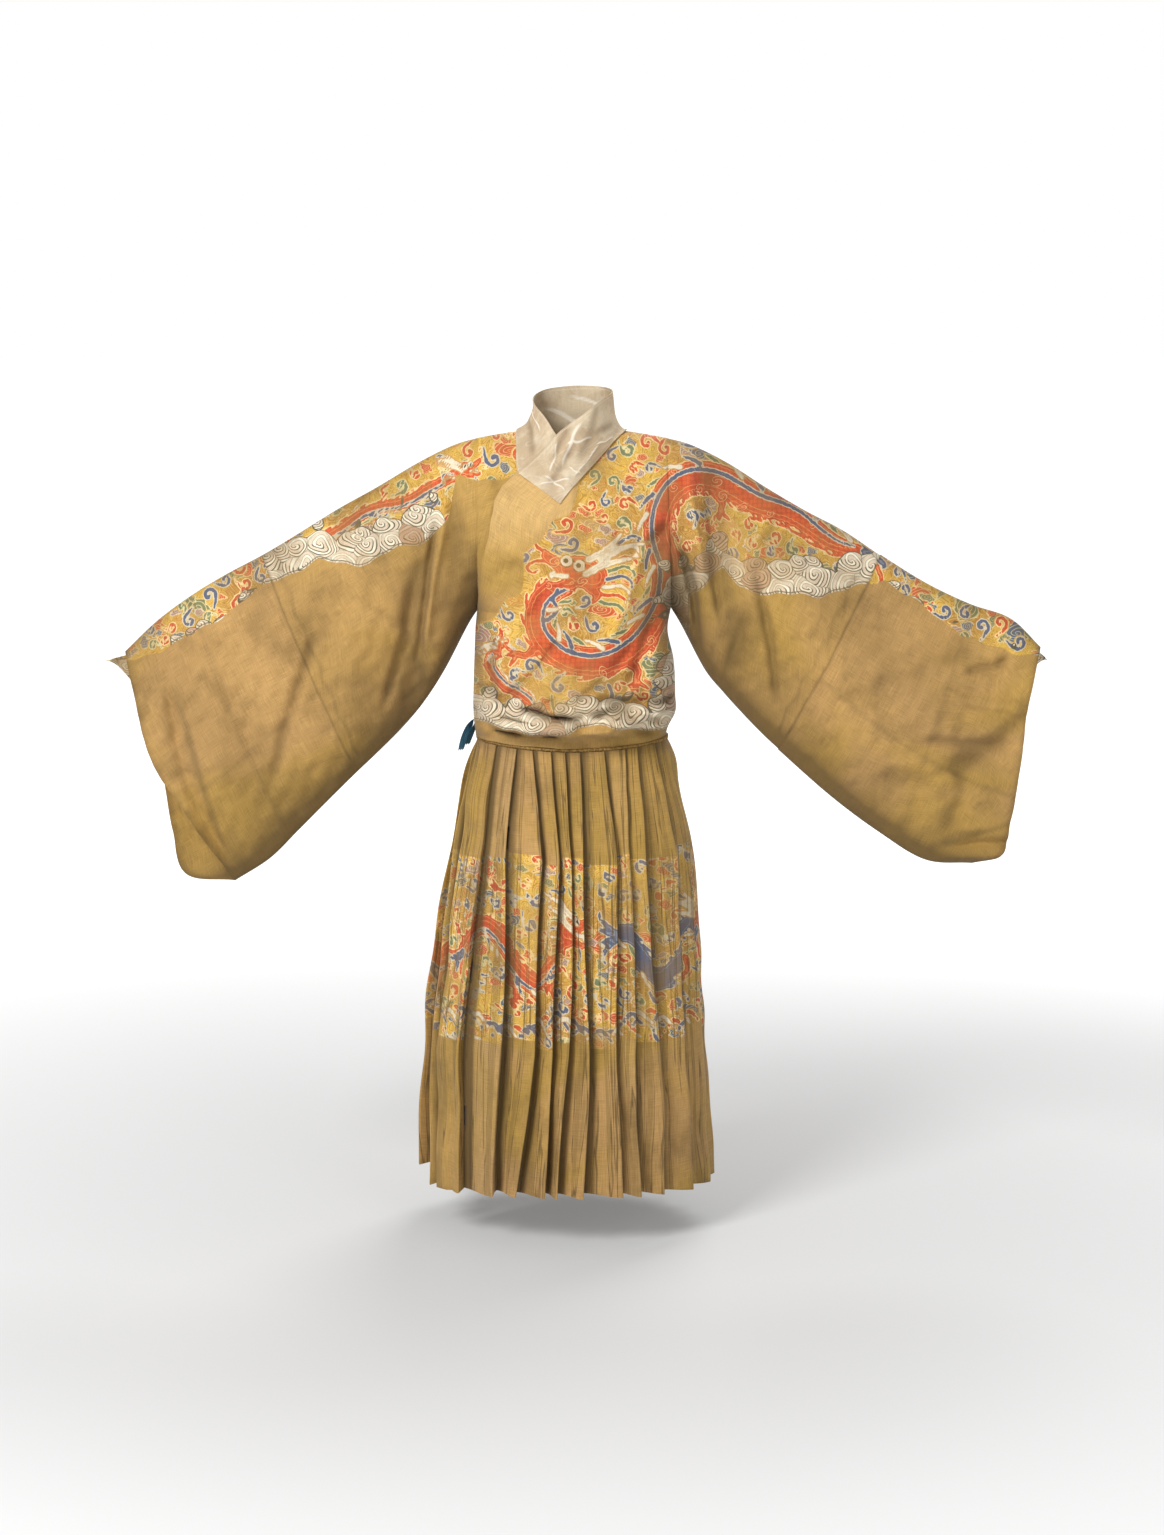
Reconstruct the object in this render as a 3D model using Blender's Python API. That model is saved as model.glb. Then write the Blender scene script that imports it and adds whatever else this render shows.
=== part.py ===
# A pleated wrap robe of woven cloth, filled out with no wearer in it.
# Metres, +Z up. The origin is on the wearer's neck at the height of the shoulders, +X runs to the
# wearer's left and the front faces -Y. Tables are in millimetres and are named column by column.

import math

import bmesh
import bpy
import numpy as np
from mathutils import Vector

MM = 0.001
CLOTH = 1.4 * MM
COLLAR_CLOTH = 1.6 * MM
SKIRT_CLOTH = 1.2 * MM
RIBBON_CLOTH = 1.0 * MM
SEAM_GAP = 0.3 * MM
WELD_DISTANCE = 0.05 * MM
SMOOTH_ANGLE = math.radians(50)
PLEAT_SMOOTH_ANGLE = math.radians(30)

LEFT, RIGHT = 1, -1
FRONT, BACK = -1, 1

# Bodice. The shoulder ridge falls from the neck to the armhole column, where the sleeve begins.
RIDGE_AT_CENTRE = 3 * MM
RIDGE_AT_ARMHOLE = -14 * MM
RIDGE_CURVE = 1.8
ARMHOLE_TOP_X = 150.5 * MM
ARMPIT_Z = -288 * MM
CENTRE_FRONT_SEAM_X = 15 * MM
UNDER_FRONT_EDGE_X = -5 * MM
NECK_HOLE_X = 80 * MM
# Column that keeps the steep end of the under front's neckline from crossing itself.
STEEP_NECKLINE_X = 65 * MM
# Half depth where sleeve and bodice meet, and how full their sections are.
ARMHOLE_DEPTH = 75 * MM
SECTION_FULLNESS = 0.7
# Columns: height, half width on the wearer's right, half width on the left, front depth, back depth.
BODICE = (
    (-288, 151, 160, 113, 104),
    (-320, 154, 155, 116, 106),
    (-372, 156, 165, 120, 108),
    (-430, 158, 168, 127, 112),
    (-458, 158, 168, 128, 112),
    (-474, 156, 160, 118, 109),
    (-486, 154, 155, 108, 105),
    (-515, 154, 154, 104, 104),
)
# Neckline cut of each front under the collar. Columns: distance from the centre, height.
LEFT_NECKLINE = ((15, -66), (80, 0))
RIGHT_NECKLINE = ((5, -140), (30, -112), (50, -80), (65, -36), (80, 0))
BACK_NECKLINE = ((0, -36), (40, -26), (80, 0))

# Sleeves, one row per station from the armhole (0) over the loom-width seam (6) to the mouth (10).
# Columns: station, top x, top z, underarm x, underarm z, half depth, forward shift.
LEFT_SLEEVE = (
    (0, 150.5, -14, 160, -288, 75, 0),
    (1, 193, -26, 178, -318, 70, 1),
    (2, 250, -54, 215, -388, 66, 3),
    (3, 310, -92, 245, -425, 62, 5),
    (4, 373, -129, 275, -458, 58, 8),
    (5, 438, -163, 304, -488, 54, 11),
    (6, 497, -202, 336, -518, 51, 14),
    (7, 570, -247, 422, -594, 49, 18),
    (8, 642, -281, 500, -652, 46, 22),
    (9, 707, -304, 577, -698, 43, 26),
    (10, 756, -350, 652, -703, 40, 30),
)
RIGHT_SLEEVE = (
    (0, 150.5, -14, 151, -288, 75, 0),
    (1, 191, -26, 170, -318, 70, 1),
    (2, 248, -54, 206, -387, 66, 3),
    (3, 314, -93, 240, -440, 62, 5),
    (4, 379, -129, 276, -483, 58, 8),
    (5, 444, -169, 317, -524, 54, 11),
    (6, 500, -202, 351, -556, 51, 14),
    (7, 559, -233, 400, -604, 49, 18),
    (8, 614, -266, 448, -652, 46, 22),
    (9, 670, -307, 494, -697, 43, 26),
    (10, 722, -356, 551, -733, 40, 30),
)
SEAM_STATION = 6
MOUTH_STATION = 10
SEAM_STATION_GAP = 0.003
# How far the mouth edge bows out of its straight chord. Columns: share from top to underarm,
# outward, upward.
MOUTH_BOW = {
    (LEFT, FRONT): ((0, 0, 0), (0.25, 6, 0), (0.5, 20, -5), (0.75, 32, -14), (0.92, 32, -16), (1, 0, 0)),
    (LEFT, BACK): ((0, 0, 0), (0.25, 4, 0), (0.5, 12, -5), (0.75, 22, -14), (0.92, 22, -16), (1, 0, 0)),
    (RIGHT, FRONT): ((0, 0, 0), (0.2, 18, 5), (0.5, 34, -4), (0.65, 25, 2), (0.85, 9, 0), (1, 0, 0)),
    (RIGHT, BACK): ((0, 0, 0), (0.2, 18, 5), (0.5, 36, -12), (0.7, 54, -34), (0.88, 56, -42), (1, 0, 0)),
}
# Long soft folds of the sleeves and bodice. Columns: start x and z, end x and z, half width, rise.
FRONT_FOLDS = (
    (-229, -190, -276, -470, 24, -10),
    (-190, -66, -186, -215, 15, -7),
    (-330, -240, -372, -520, 30, 6),
    (-590, -380, -520, -640, 30, 6),
    (230, -60, 262, -420, 22, -9),
    (140, -150, 152, -275, 14, -6),
    (512, -560, 655, -532, 18, -6),
    (545, -375, 660, -362, 18, -5),
    (400, -250, 440, -560, 34, 6),
    (-120, -440, 10, -470, 12, 5),
    (40, -462, 140, -440, 12, 5),
)
BACK_FOLDS = (
    (-220, -120, -262, -440, 26, -9),
    (220, -120, 255, -400, 26, -9),
    (-110, -230, -60, -470, 20, 6),
    (100, -250, 70, -470, 20, 6),
    (520, -330, 590, -600, 30, 6),
    (-500, -330, -440, -600, 30, 6),
)

# Folds run out over this share of their length at each end, and fade where the cloth is shallower
# than the depth given.
FOLD_RUN_OUT = 0.15
FOLD_FULL_DEPTH = 25 * MM

# Outer overlap panel. Lapel edge columns: x, height.
LAPEL_EDGE = (
    (-86, -66), (-110, -90), (-122, -110), (-131, -163), (-139, -202),
    (-146, -257), (-152, -318), (-155, -390), (-156.5, -450), (-154, -475), (-152, -500),
)
# Top edge, and the shares of the way along it at which its points lie.
OVERLAP_TOP = ((-86, -66), (-19, -104), (15, -67))
OVERLAP_TOP_SHARES = (0, 0.6, 1)
# The panel stands off the front under it, further near the collar, and meets it at the seam.
OVERLAP_LIFT = 4.4 * MM
OVERLAP_LIFT_AT_COLLAR = 5.8 * MM
COLLAR_LIFT_Z = -180 * MM
COLLAR_LIFT_RUN = 70 * MM
SEAM_LIFT_RUN = 18 * MM

# Guard collar, one section per row, from the hidden under end round the neck to the outer end.
# Columns: sewn edge x, z, lift off the bodice and side of the shoulder; fold line x, y, z;
# top rim x, y, z.
COLLAR = (
    (-70, -82, 2.6, FRONT, -36, -74, -56, -6, -66, -24),
    (-86, -65, 2.6, FRONT, -54, -70, -34.5, -24.5, -66, -6),
    (-88, -30, 4.5, FRONT, -62, -42, -4, -44, -52, 22),
    (-88, 1, 4.0, FRONT, -68.5, 0, 17, -63.5, -12, 45),
    (-62, -22, 3.5, BACK, -53, 44, 8, -49, 43, 60),
    (0, -44, 3.2, BACK, 0, 60, -8, 0, 61, 67),
    (62, -22, 3.5, BACK, 53, 44, 8, 49, 43, 66),
    (87.5, 0, 4.0, FRONT, 73, 0, 13, 65.5, -5, 60),
    (70, -17, 4.0, FRONT, 58, -42, 2, 46, -46, 47),
    (46, -42, 2.8, FRONT, 33, -68, -14, 18, -64, 26),
    (13, -77, 4.6, FRONT, -1, -84, -42, -20, -75, -1),
    (-4, -97, 8.2, FRONT, -23, -86, -64, -44, -80, -29),
    (-19, -115, 8.4, FRONT, -52, -91, -89, -85, -79, -66),
)
# Sections sewn nearer to the shoulder ridge than this sit on the ridge itself.
COLLAR_RIDGE_MARGIN = 4 * MM

# Waist join: a raised overcast seam that is open at the wearer's right side.
JOIN_RADIUS = 2.3 * MM
JOIN_SIDE_Z = -498 * MM
JOIN_FRONT_DIP = 9 * MM
JOIN_BACK_DIP = 4 * MM
JOIN_HALF_WIDTH = 154 * MM
JOIN_HALF_DEPTH = 104 * MM
JOIN_OPENING = math.radians(4)
JOIN_POINTS = 72

# Skirt. Columns: height, half width on the wearer's right, half width on the left, half depth,
# pleat depth, overhang of each pleat's folded edge.
SKIRT = (
    (-500, 153, 153, 103, 3.0, 0.5),
    (-524, 162, 163, 112, 6.0, 1.5),
    (-612, 183, 178, 133, 10, 3),
    (-672, 194, 190, 146, 12, 4),
    (-778, 212, 199, 159, 14, 4),
    (-943, 232, 209, 172, 17, 4),
    (-1042, 240, 215, 178, 19, 4),
    (-1250, 246, 226, 186, 22, 4),
)
PLEAT_LEVELS = (-500, -680, -990, -1235)
# Folded edges of the front pleats: x at the waist, above the band, under the band and at the hem.
FRONT_PLEATS = (
    (-152, -180, -214, -216),
    (-121, -147, -176, -181),
    (-88, -106, -112, -123),
    (-64, -45, -62, -90),
    (-34, -23, -28, -48),
    (-12, -1, -6, -22),
    (12, 19, 24, 17),
    (50, 67, 72, 76),
    (84, 91, 98, 110),
    (103, 116, 136, 146),
    (131, 163, 178, 188),
    (152, 188, 206, 218),
)
# Back pleats are even but for a slight sway. The last ends short of the slit.
BACK_PLEAT_COUNT = 14
BACK_PLEAT_SWAY = math.radians(1.6)
BACK_SWAY_TURN = 2.4
BACK_SWAY_LENGTH = 180 * MM
SLIT_WIDTH = math.radians(5)
# Pleat section from the tucked start to the folded edge. Columns: share of the pleat, rise as a
# share of the pleat depth, overhang as a share of the table's.
PLEAT_SECTION = ((0, -0.5, -1), (0.3, -0.28, 0), (0.7, 0.22, 0), (1, 0.5, 0))
FOLDED_EDGE_LIMIT = 0.985
HEM_Z = -1235 * MM
HEM_RISE_FRONT = 14 * MM
HEM_RISE_AT_SLIT = 40 * MM
HEM_RISE_ANGLE = -math.pi / 2 - 0.02
HEM_RISE_SPREAD = 0.2
HEM_JAG = 4 * MM
SKIRT_ROWS = (0, 0.03, 0.09, 0.17, 0.28, 0.42, 0.58, 0.78, 1)

# Side tie: a folded ribbon of two tails. Columns: x, y, z of the ribbon's middle, half width.
SIDE_TIE = (
    (-182, -5, -521, 5),
    (-176, -3, -500, 6),
    (-168, -1, -482, 6),
    (-162.5, 0, -472, 4),
    (-156.8, 0, -470.5, 4),
    (-157.0, 1, -478, 5),
    (-165, 3, -496, 5),
    (-172, 4, -513, 5),
)

# Cuff flaps: the brocade end of each sleeve's top, turned out of the mouth.
# Columns: x and z of the flap's tip, share of the mouth edge that it covers.
CUFF_FLAP = {LEFT: (771, -371, 0.1), RIGHT: (756, -372, 0.17)}
FLAP_START_SHARE = 0.02
FLAP_PEAK = 0.25
FLAP_BACK_SHIFT = 4 * MM
FLAP_LEAST_WIDTH = 3 * MM

# Mesh density: shares down the sleeves and the upper bodice, columns from the neck to the
# armhole, columns under the neck hole, shares down the lower bodice.
ROW_SHARES = (0, 0.03, 0.1, 0.22, 0.36, 0.5, 0.64, 0.78, 0.9, 0.97, 1)
OUTER_ANGLES = 6
INNER_COLUMNS = 4
LOWER_SHARES = (0, 0.15, 0.3, 0.45, 0.6, 0.71, 0.79, 0.86, 0.91, 0.96, 1)
OVERLAP_COLUMNS = 11
OVERLAP_ROWS = 9
EXTENSION_COLUMNS = 7
COLLAR_STEPS = 3
COLLAR_SHARES = (0, 0.2, 0.4, 0.6, 0.8, 1)
FLAP_ROWS = 4


def clear_scene():
    for item in list(bpy.data.objects):
        bpy.data.objects.remove(item)


def cloth_material(name, colour, roughness=0.85):
    material = bpy.data.materials.new(name)
    material.use_nodes = True
    shader = material.node_tree.nodes["Principled BSDF"]
    shader.inputs["Base Color"].default_value = (*colour, 1)
    shader.inputs["Roughness"].default_value = roughness
    return material


def ease(t):
    t = min(max(t, 0.0), 1.0)
    return t * t * (3 - 2 * t)


def read_table(table, key):
    """All columns of a table at a key, through a smooth curve that passes every row."""
    rows = np.array(table, dtype=float)
    if rows[0, 0] > rows[-1, 0]:
        rows = rows[::-1]
    keys, values = rows[:, 0], rows[:, 1:]
    key = min(max(key, keys[0]), keys[-1])
    i = int(min(np.searchsorted(keys, key, side="right") - 1, len(keys) - 2))
    slopes = np.gradient(values, keys, axis=0)
    span = keys[i + 1] - keys[i]
    t = (key - keys[i]) / span
    start, end = values[i], values[i + 1]
    return (
        (2 * t**3 - 3 * t**2 + 1) * start
        + (t**3 - 2 * t**2 + t) * span * slopes[i]
        + (3 * t**2 - 2 * t**3) * end
        + (t**3 - t**2) * span * slopes[i + 1]
    )


def read_line(table, key):
    """The second column of a table at a key of the first, by straight lines."""
    rows = np.array(sorted(table), dtype=float)
    return float(np.interp(key, rows[:, 0], rows[:, 1]))


def fold_rise(face, x, z):
    """Outward rise of the long folds at a place on the front or back."""
    total = 0.0
    for x0, z0, x1, z1, half_width, rise in FRONT_FOLDS if face == FRONT else BACK_FOLDS:
        start = np.array((x0, z0)) * MM
        along = np.array((x1, z1)) * MM - start
        length = np.linalg.norm(along)
        away = np.array((x, z)) - start
        share = float(away @ along) / length**2
        across = (away[0] * along[1] - away[1] * along[0]) / length / (half_width * MM)
        ends = ease((share + FOLD_RUN_OUT) / (2 * FOLD_RUN_OUT))
        ends *= ease((1 + FOLD_RUN_OUT - share) / (2 * FOLD_RUN_OUT))
        total += rise * MM * ends * math.exp(-across * across)
    return total


def ridge_z(s):
    """Height of the shoulder ridge at a share s of the way to the armhole."""
    return RIDGE_AT_CENTRE + (RIDGE_AT_ARMHOLE - RIDGE_AT_CENTRE) * abs(s) ** RIDGE_CURVE


def lens(w):
    """Half section of a sleeve from its top fold (0) to its underarm seam (1)."""
    return math.sin(math.pi * min(max(w, 0.0), 1.0)) ** SECTION_FULLNESS


def half_width(side, z):
    return read_table(BODICE, z / MM)[1 if side == LEFT else 0] * MM


def bodice_point(side, face, angle, z):
    """A point on the bodice, angle measured from the centre line round to the side seam."""
    s = math.sin(angle)
    a = math.cos(angle)
    ridge = ridge_z(s)
    if z > ARMPIT_Z:
        w = (ridge - z) / (ridge - ARMPIT_Z)
        depth = read_table(BODICE, ARMPIT_Z / MM)[2 if face == FRONT else 3] * MM
        round_over = math.sqrt(max(0.0, 1 - (1 - max(w, 0.0)) ** 2))
        depth = a * depth * round_over + (1 - a) * ARMHOLE_DEPTH * lens(w)
        x = s * (ARMHOLE_TOP_X + (half_width(side, ARMPIT_Z) - ARMHOLE_TOP_X) * w)
    else:
        depth = a * read_table(BODICE, z / MM)[2 if face == FRONT else 3] * MM
        x = s * half_width(side, z)
    rise = fold_rise(face, side * x, z) * min(1.0, depth / FOLD_FULL_DEPTH)
    return np.array((side * x, face * (depth + rise), z))


def bodice_lifted(side, face, angle, z, lift):
    """The same place moved out along the surface's own normal."""
    step = 0.004
    by_angle = bodice_point(side, face, angle + step, z) - bodice_point(side, face, angle - step, z)
    by_height = bodice_point(side, face, angle, z + step) - bodice_point(side, face, angle, z - step)
    normal = np.cross(by_angle, by_height)
    normal /= np.linalg.norm(normal)
    if normal[1] * face < 0:
        normal = -normal
    return bodice_point(side, face, angle, z) + normal * lift


def angle_at(side, x, z):
    """The bodice angle of a place x at height z."""
    reach = half_width(side, min(z, ARMPIT_Z))
    return math.asin(min(abs(x) / reach, 1.0))


def join_z(face, angle):
    dip = JOIN_FRONT_DIP if face == FRONT else JOIN_BACK_DIP
    return JOIN_SIDE_Z - dip * math.cos(angle) ** 2


def sleeve_point(side, face, station, w):
    """A point on a sleeve at a station along it, w from the top fold to the underarm seam."""
    table = LEFT_SLEEVE if side == LEFT else RIGHT_SLEEVE
    top_x, top_z, low_x, low_z, depth, shift = read_table(table, station) * MM
    x = top_x + (low_x - top_x) * w
    z = top_z + (low_z - top_z) * w
    near_mouth = max(0.0, (station - SEAM_STATION) / (MOUTH_STATION - SEAM_STATION)) ** 3
    bow_x, bow_z = read_table(MOUTH_BOW[(side, face)], w) * MM * near_mouth
    depth *= lens(w)
    rise = fold_rise(face, side * x, z) * min(1.0, depth / FOLD_FULL_DEPTH)
    return np.array((side * (x + bow_x), face * (depth + rise) - shift, z + bow_z))


def neckline_z(side, face, x):
    if face == BACK:
        return read_line(BACK_NECKLINE, abs(x) / MM) * MM
    return read_line(LEFT_NECKLINE if side == LEFT else RIGHT_NECKLINE, abs(x) / MM) * MM


def inner_columns(side, face):
    """Distances from the centre of the columns under the neck hole, from the open edge outward."""
    if face == BACK:
        start = SEAM_GAP / 2
    else:
        start = CENTRE_FRONT_SEAM_X + SEAM_GAP / 2 if side == LEFT else abs(UNDER_FRONT_EDGE_X)
    columns = list(np.linspace(start, NECK_HOLE_X, INNER_COLUMNS + 1))
    if side == RIGHT and face == FRONT:
        columns[-2] = STEEP_NECKLINE_X
    return columns


def grid_faces(mesh, points):
    """Adds a grid of points, rows by columns, to a bmesh as four-sided faces."""
    verts = [[mesh.verts.new(p) for p in row] for row in points]
    for upper, lower in zip(verts, verts[1:]):
        for a, b, c, d in zip(upper, upper[1:], lower[1:], lower):
            mesh.faces.new((a, b, c, d))


def cloth_object(name, grids, thickness, material):
    """Joins grids of points at their shared edges and gives the sheet its thickness inward."""
    mesh = bmesh.new()
    for points in grids:
        grid_faces(mesh, points)
    bmesh.ops.remove_doubles(mesh, verts=mesh.verts, dist=WELD_DISTANCE)
    bmesh.ops.dissolve_degenerate(mesh, edges=mesh.edges, dist=WELD_DISTANCE)
    bmesh.ops.recalc_face_normals(mesh, faces=mesh.faces)
    return sheet_object(name, mesh, thickness, material)


def sheet_object(name, mesh, thickness, material, smooth_angle=SMOOTH_ANGLE):
    """Makes a sheet an object whose wall grows inward from its outer face."""
    data = bpy.data.meshes.new(name)
    mesh.to_mesh(data)
    mesh.free()
    data.materials.append(material)
    data.shade_smooth()
    data.set_sharp_from_angle(angle=smooth_angle)
    item = bpy.data.objects.new(name, data)
    bpy.context.scene.collection.objects.link(item)
    solidify = item.modifiers.new("Thickness", "SOLIDIFY")
    solidify.thickness = thickness
    solidify.offset = -1
    solidify.use_even_offset = True
    return item


def face_outward(mesh, centre):
    """Turns a sheet's faces so that most of them look away from a line through the centre."""
    score = 0.0
    for face in mesh.faces:
        score += face.normal.dot(face.calc_center_median() - centre) * face.calc_area()
    if score < 0:
        bmesh.ops.reverse_faces(mesh, faces=mesh.faces)


def loom_width(name, side, material):
    """One loom width: front half, shoulder, back half and the upper part of the sleeve."""
    neck_angle = math.asin(NECK_HOLE_X / ARMHOLE_TOP_X)
    outer = [neck_angle + (math.pi / 2 - neck_angle) * i / OUTER_ANGLES for i in range(OUTER_ANGLES + 1)]
    stations = np.linspace(0, SEAM_STATION, SEAM_STATION + 1)
    stations[-1] -= SEAM_STATION_GAP
    grids = []
    for face in (FRONT, BACK):
        columns = []
        for x in inner_columns(side, face):
            angle = math.asin(x / ARMHOLE_TOP_X)
            ridge = ridge_z(math.sin(angle))
            columns.append((angle, min(neckline_z(side, face, x), ridge)))
        columns[-1] = (neck_angle, ridge_z(math.sin(neck_angle)))
        columns += [(angle, ridge_z(math.sin(angle))) for angle in outer[1:]]
        upper = [
            [bodice_point(side, face, angle, top + (ARMPIT_Z - top) * share) for angle, top in columns]
            for share in ROW_SHARES
        ]
        lower = []
        for share in LOWER_SHARES:
            points = []
            for angle, _ in columns:
                low = join_z(face, angle) + JOIN_RADIUS + SEAM_GAP
                points.append(bodice_point(side, face, angle, ARMPIT_Z + (low - ARMPIT_Z) * share))
            lower.append(points)
        sleeve = [[sleeve_point(side, face, at, share) for at in stations] for share in ROW_SHARES]
        grids += [upper, lower, sleeve]
    return cloth_object(name, grids, CLOTH, material)


def sleeve_extension(name, side, material):
    """The outer part of a sleeve, from the loom-width seam to its open mouth."""
    stations = np.linspace(SEAM_STATION + SEAM_STATION_GAP, MOUTH_STATION, EXTENSION_COLUMNS)
    grids = []
    for face in (FRONT, BACK):
        grids.append([[sleeve_point(side, face, at, share) for at in stations] for share in ROW_SHARES])
    return cloth_object(name, grids, CLOTH, material)


def overlap_lift(x, z):
    """How far the overlap panel stands off the front under it: nothing at the centre seam."""
    near_collar = ease((z - COLLAR_LIFT_Z) / COLLAR_LIFT_RUN)
    lift = OVERLAP_LIFT + (OVERLAP_LIFT_AT_COLLAR - OVERLAP_LIFT) * near_collar
    return lift * ease((CENTRE_FRONT_SEAM_X - x) / SEAM_LIFT_RUN)


def signed_angle(x, z):
    """Angle of a place on the front, negative on the wearer's right."""
    return math.copysign(angle_at(LEFT if x > 0 else RIGHT, x, z), x)


def lapel_angle(z):
    x = read_line([(height, x) for x, height in LAPEL_EDGE], z / MM) * MM
    return signed_angle(x, z)


def overlap_place(u, v):
    """Angle and height above the armpits. u from lapel edge to centre seam, v from the top down."""
    corners = [np.array((signed_angle(x * MM, z * MM), z * MM)) for x, z in OVERLAP_TOP]
    top = np.array([np.interp(u, OVERLAP_TOP_SHARES, [corner[i] for corner in corners]) for i in (0, 1)])
    low_left = np.array((lapel_angle(ARMPIT_Z), ARMPIT_Z))
    low_right = np.array((signed_angle(CENTRE_FRONT_SEAM_X, ARMPIT_Z), ARMPIT_Z))
    lapel_z = corners[0][1] * (1 - v) + ARMPIT_Z * v
    bow = np.array((lapel_angle(lapel_z), lapel_z)) - (corners[0] * (1 - v) + low_left * v)
    bottom = low_left + (low_right - low_left) * u
    return (1 - v) * top + v * bottom + (1 - u) * bow


def overlap_panel(name, material):
    """The outer overlap, from the centre front seam to the lapel edge at the wearer's right."""
    columns = np.linspace(0, 1, OVERLAP_COLUMNS)
    seam_x = CENTRE_FRONT_SEAM_X - SEAM_GAP / 2
    places = [[overlap_place(u, v) for u in columns] for v in np.linspace(0, 1, OVERLAP_ROWS)]
    for share in LOWER_SHARES[1:]:
        row = []
        for u in columns:
            z = ARMPIT_Z
            for _ in range(2):
                angle = lapel_angle(z) * (1 - u) + signed_angle(CENTRE_FRONT_SEAM_X, z) * u
                z = ARMPIT_Z + (join_z(FRONT, angle) + JOIN_RADIUS + SEAM_GAP - ARMPIT_Z) * share
            row.append((angle, z))
        places.append(row)
    grid = []
    for row in places:
        points = []
        for angle, z in row:
            angle = min(angle, signed_angle(seam_x, z))
            side = LEFT if angle > 0 else RIGHT
            x = bodice_point(side, FRONT, abs(angle), z)[0]
            points.append(bodice_lifted(side, FRONT, abs(angle), z, overlap_lift(x, z)))
        grid.append(points)
    return cloth_object(name, [grid], CLOTH, material)


def collar_sections():
    """The collar's sections as sewn edge, fold line and top rim."""
    sections = []
    for sewn_x, sewn_z, lift, face, *rest in COLLAR:
        side = LEFT if sewn_x > 0 else RIGHT
        z = sewn_z * MM
        angle = math.asin(min(abs(sewn_x) * MM / ARMHOLE_TOP_X, 1))
        ridge = ridge_z(math.sin(angle))
        if z > ridge - COLLAR_RIDGE_MARGIN:
            sewn = np.array((sewn_x * MM, 0, ridge + lift * MM))
        else:
            sewn = bodice_lifted(side, face, angle, z, lift * MM)
        sections.append((sewn, np.array(rest[0:3]) * MM, np.array(rest[3:6]) * MM))
    return sections


def collar(name, material):
    """A wide band sewn round the neck, folded up to stand, its left end crossing over its right."""
    sections = collar_sections()
    count = len(sections)
    table = [(i, *np.concatenate(section)) for i, section in enumerate(sections)]
    steps = np.linspace(0, count - 1, (count - 1) * COLLAR_STEPS + 1)
    grid = []
    for share in COLLAR_SHARES:
        row = []
        for at in steps:
            values = read_table(table, at)
            sewn, fold, rim = values[0:3], values[3:6], values[6:9]
            control = 2 * fold - (sewn + rim) / 2
            row.append((1 - share) ** 2 * sewn + 2 * share * (1 - share) * control + share**2 * rim)
        grid.append(row)
    mesh = bmesh.new()
    grid_faces(mesh, grid)
    bmesh.ops.recalc_face_normals(mesh, faces=mesh.faces)
    mesh.normal_update()
    face_outward(mesh, Vector((0, 0, -20 * MM)))
    return sheet_object(name, mesh, COLLAR_CLOTH, material)


def waist_join(name, material):
    """The overcast ridge between bodice and skirt, as a bevelled curve round the waist."""
    curve = bpy.data.curves.new(name, "CURVE")
    curve.dimensions = "3D"
    curve.bevel_depth = JOIN_RADIUS
    curve.bevel_resolution = 2
    curve.use_fill_caps = True
    spline = curve.splines.new("POLY")
    spline.points.add(JOIN_POINTS - 1)
    start = -math.pi / 2 + JOIN_OPENING / 2
    for i, point in enumerate(spline.points):
        angle = start + (2 * math.pi - JOIN_OPENING) * i / (JOIN_POINTS - 1)
        face = FRONT if math.cos(angle) > 0 else BACK
        x = JOIN_HALF_WIDTH * math.sin(angle)
        y = -JOIN_HALF_DEPTH * math.cos(angle)
        point.co = (x, y, join_z(face, angle), 1)
    curve.materials.append(material)
    item = bpy.data.objects.new(name, curve)
    bpy.context.scene.collection.objects.link(item)
    return item


def skirt_base(angle, z):
    """Middle line of the skirt and its outward direction. Angle 0 is the front, +90 the left side."""
    right, left, depth, _, _ = read_table(SKIRT, z / MM) * MM
    across = left if math.sin(angle) > 0 else right
    point = np.array((across * math.sin(angle), -depth * math.cos(angle)))
    out = np.array((depth * math.sin(angle), -across * math.cos(angle)))
    return point, out / np.linalg.norm(out)


def skirt_point(angle, z, rise, along):
    """A point of the pleats: rise outward and along the hem, both in metres."""
    point, out = skirt_base(angle, z)
    point = point + out * rise + np.array((-out[1], out[0])) * along
    return np.array((point[0], point[1], z))


def hem_z(angle):
    """The hem hangs level but for a lift at the front and a short stretch at the side slit."""
    rise = HEM_RISE_FRONT * max(0.0, math.cos(angle)) ** 2
    from_slit = (angle - HEM_RISE_ANGLE + math.pi) % (2 * math.pi) - math.pi
    return HEM_Z + rise + HEM_RISE_AT_SLIT * math.exp(-((from_slit / HEM_RISE_SPREAD) ** 2))


def front_edge_angle(pleat, z):
    """Angle of a front pleat's folded edge at a height."""
    x = float(np.interp(-z / MM, [-level for level in PLEAT_LEVELS], pleat)) * MM
    right, left, *_ = read_table(SKIRT, z / MM) * MM
    reach = left if x > 0 else right
    return math.asin(min(max(x / reach, -FOLDED_EDGE_LIMIT), FOLDED_EDGE_LIMIT))


def back_edge_angle(index, z):
    """Angle of a back pleat's folded edge: even spacing with a slight sway."""
    start = front_edge_angle(FRONT_PLEATS[-1], z)
    end = front_edge_angle(FRONT_PLEATS[0], z) + 2 * math.pi - SLIT_WIDTH
    share = index / BACK_PLEAT_COUNT
    sway = BACK_PLEAT_SWAY * math.sin(BACK_SWAY_TURN * index + z / BACK_SWAY_LENGTH)
    sway *= math.sin(math.pi * share)
    return start + (end - start) * share + sway


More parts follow.
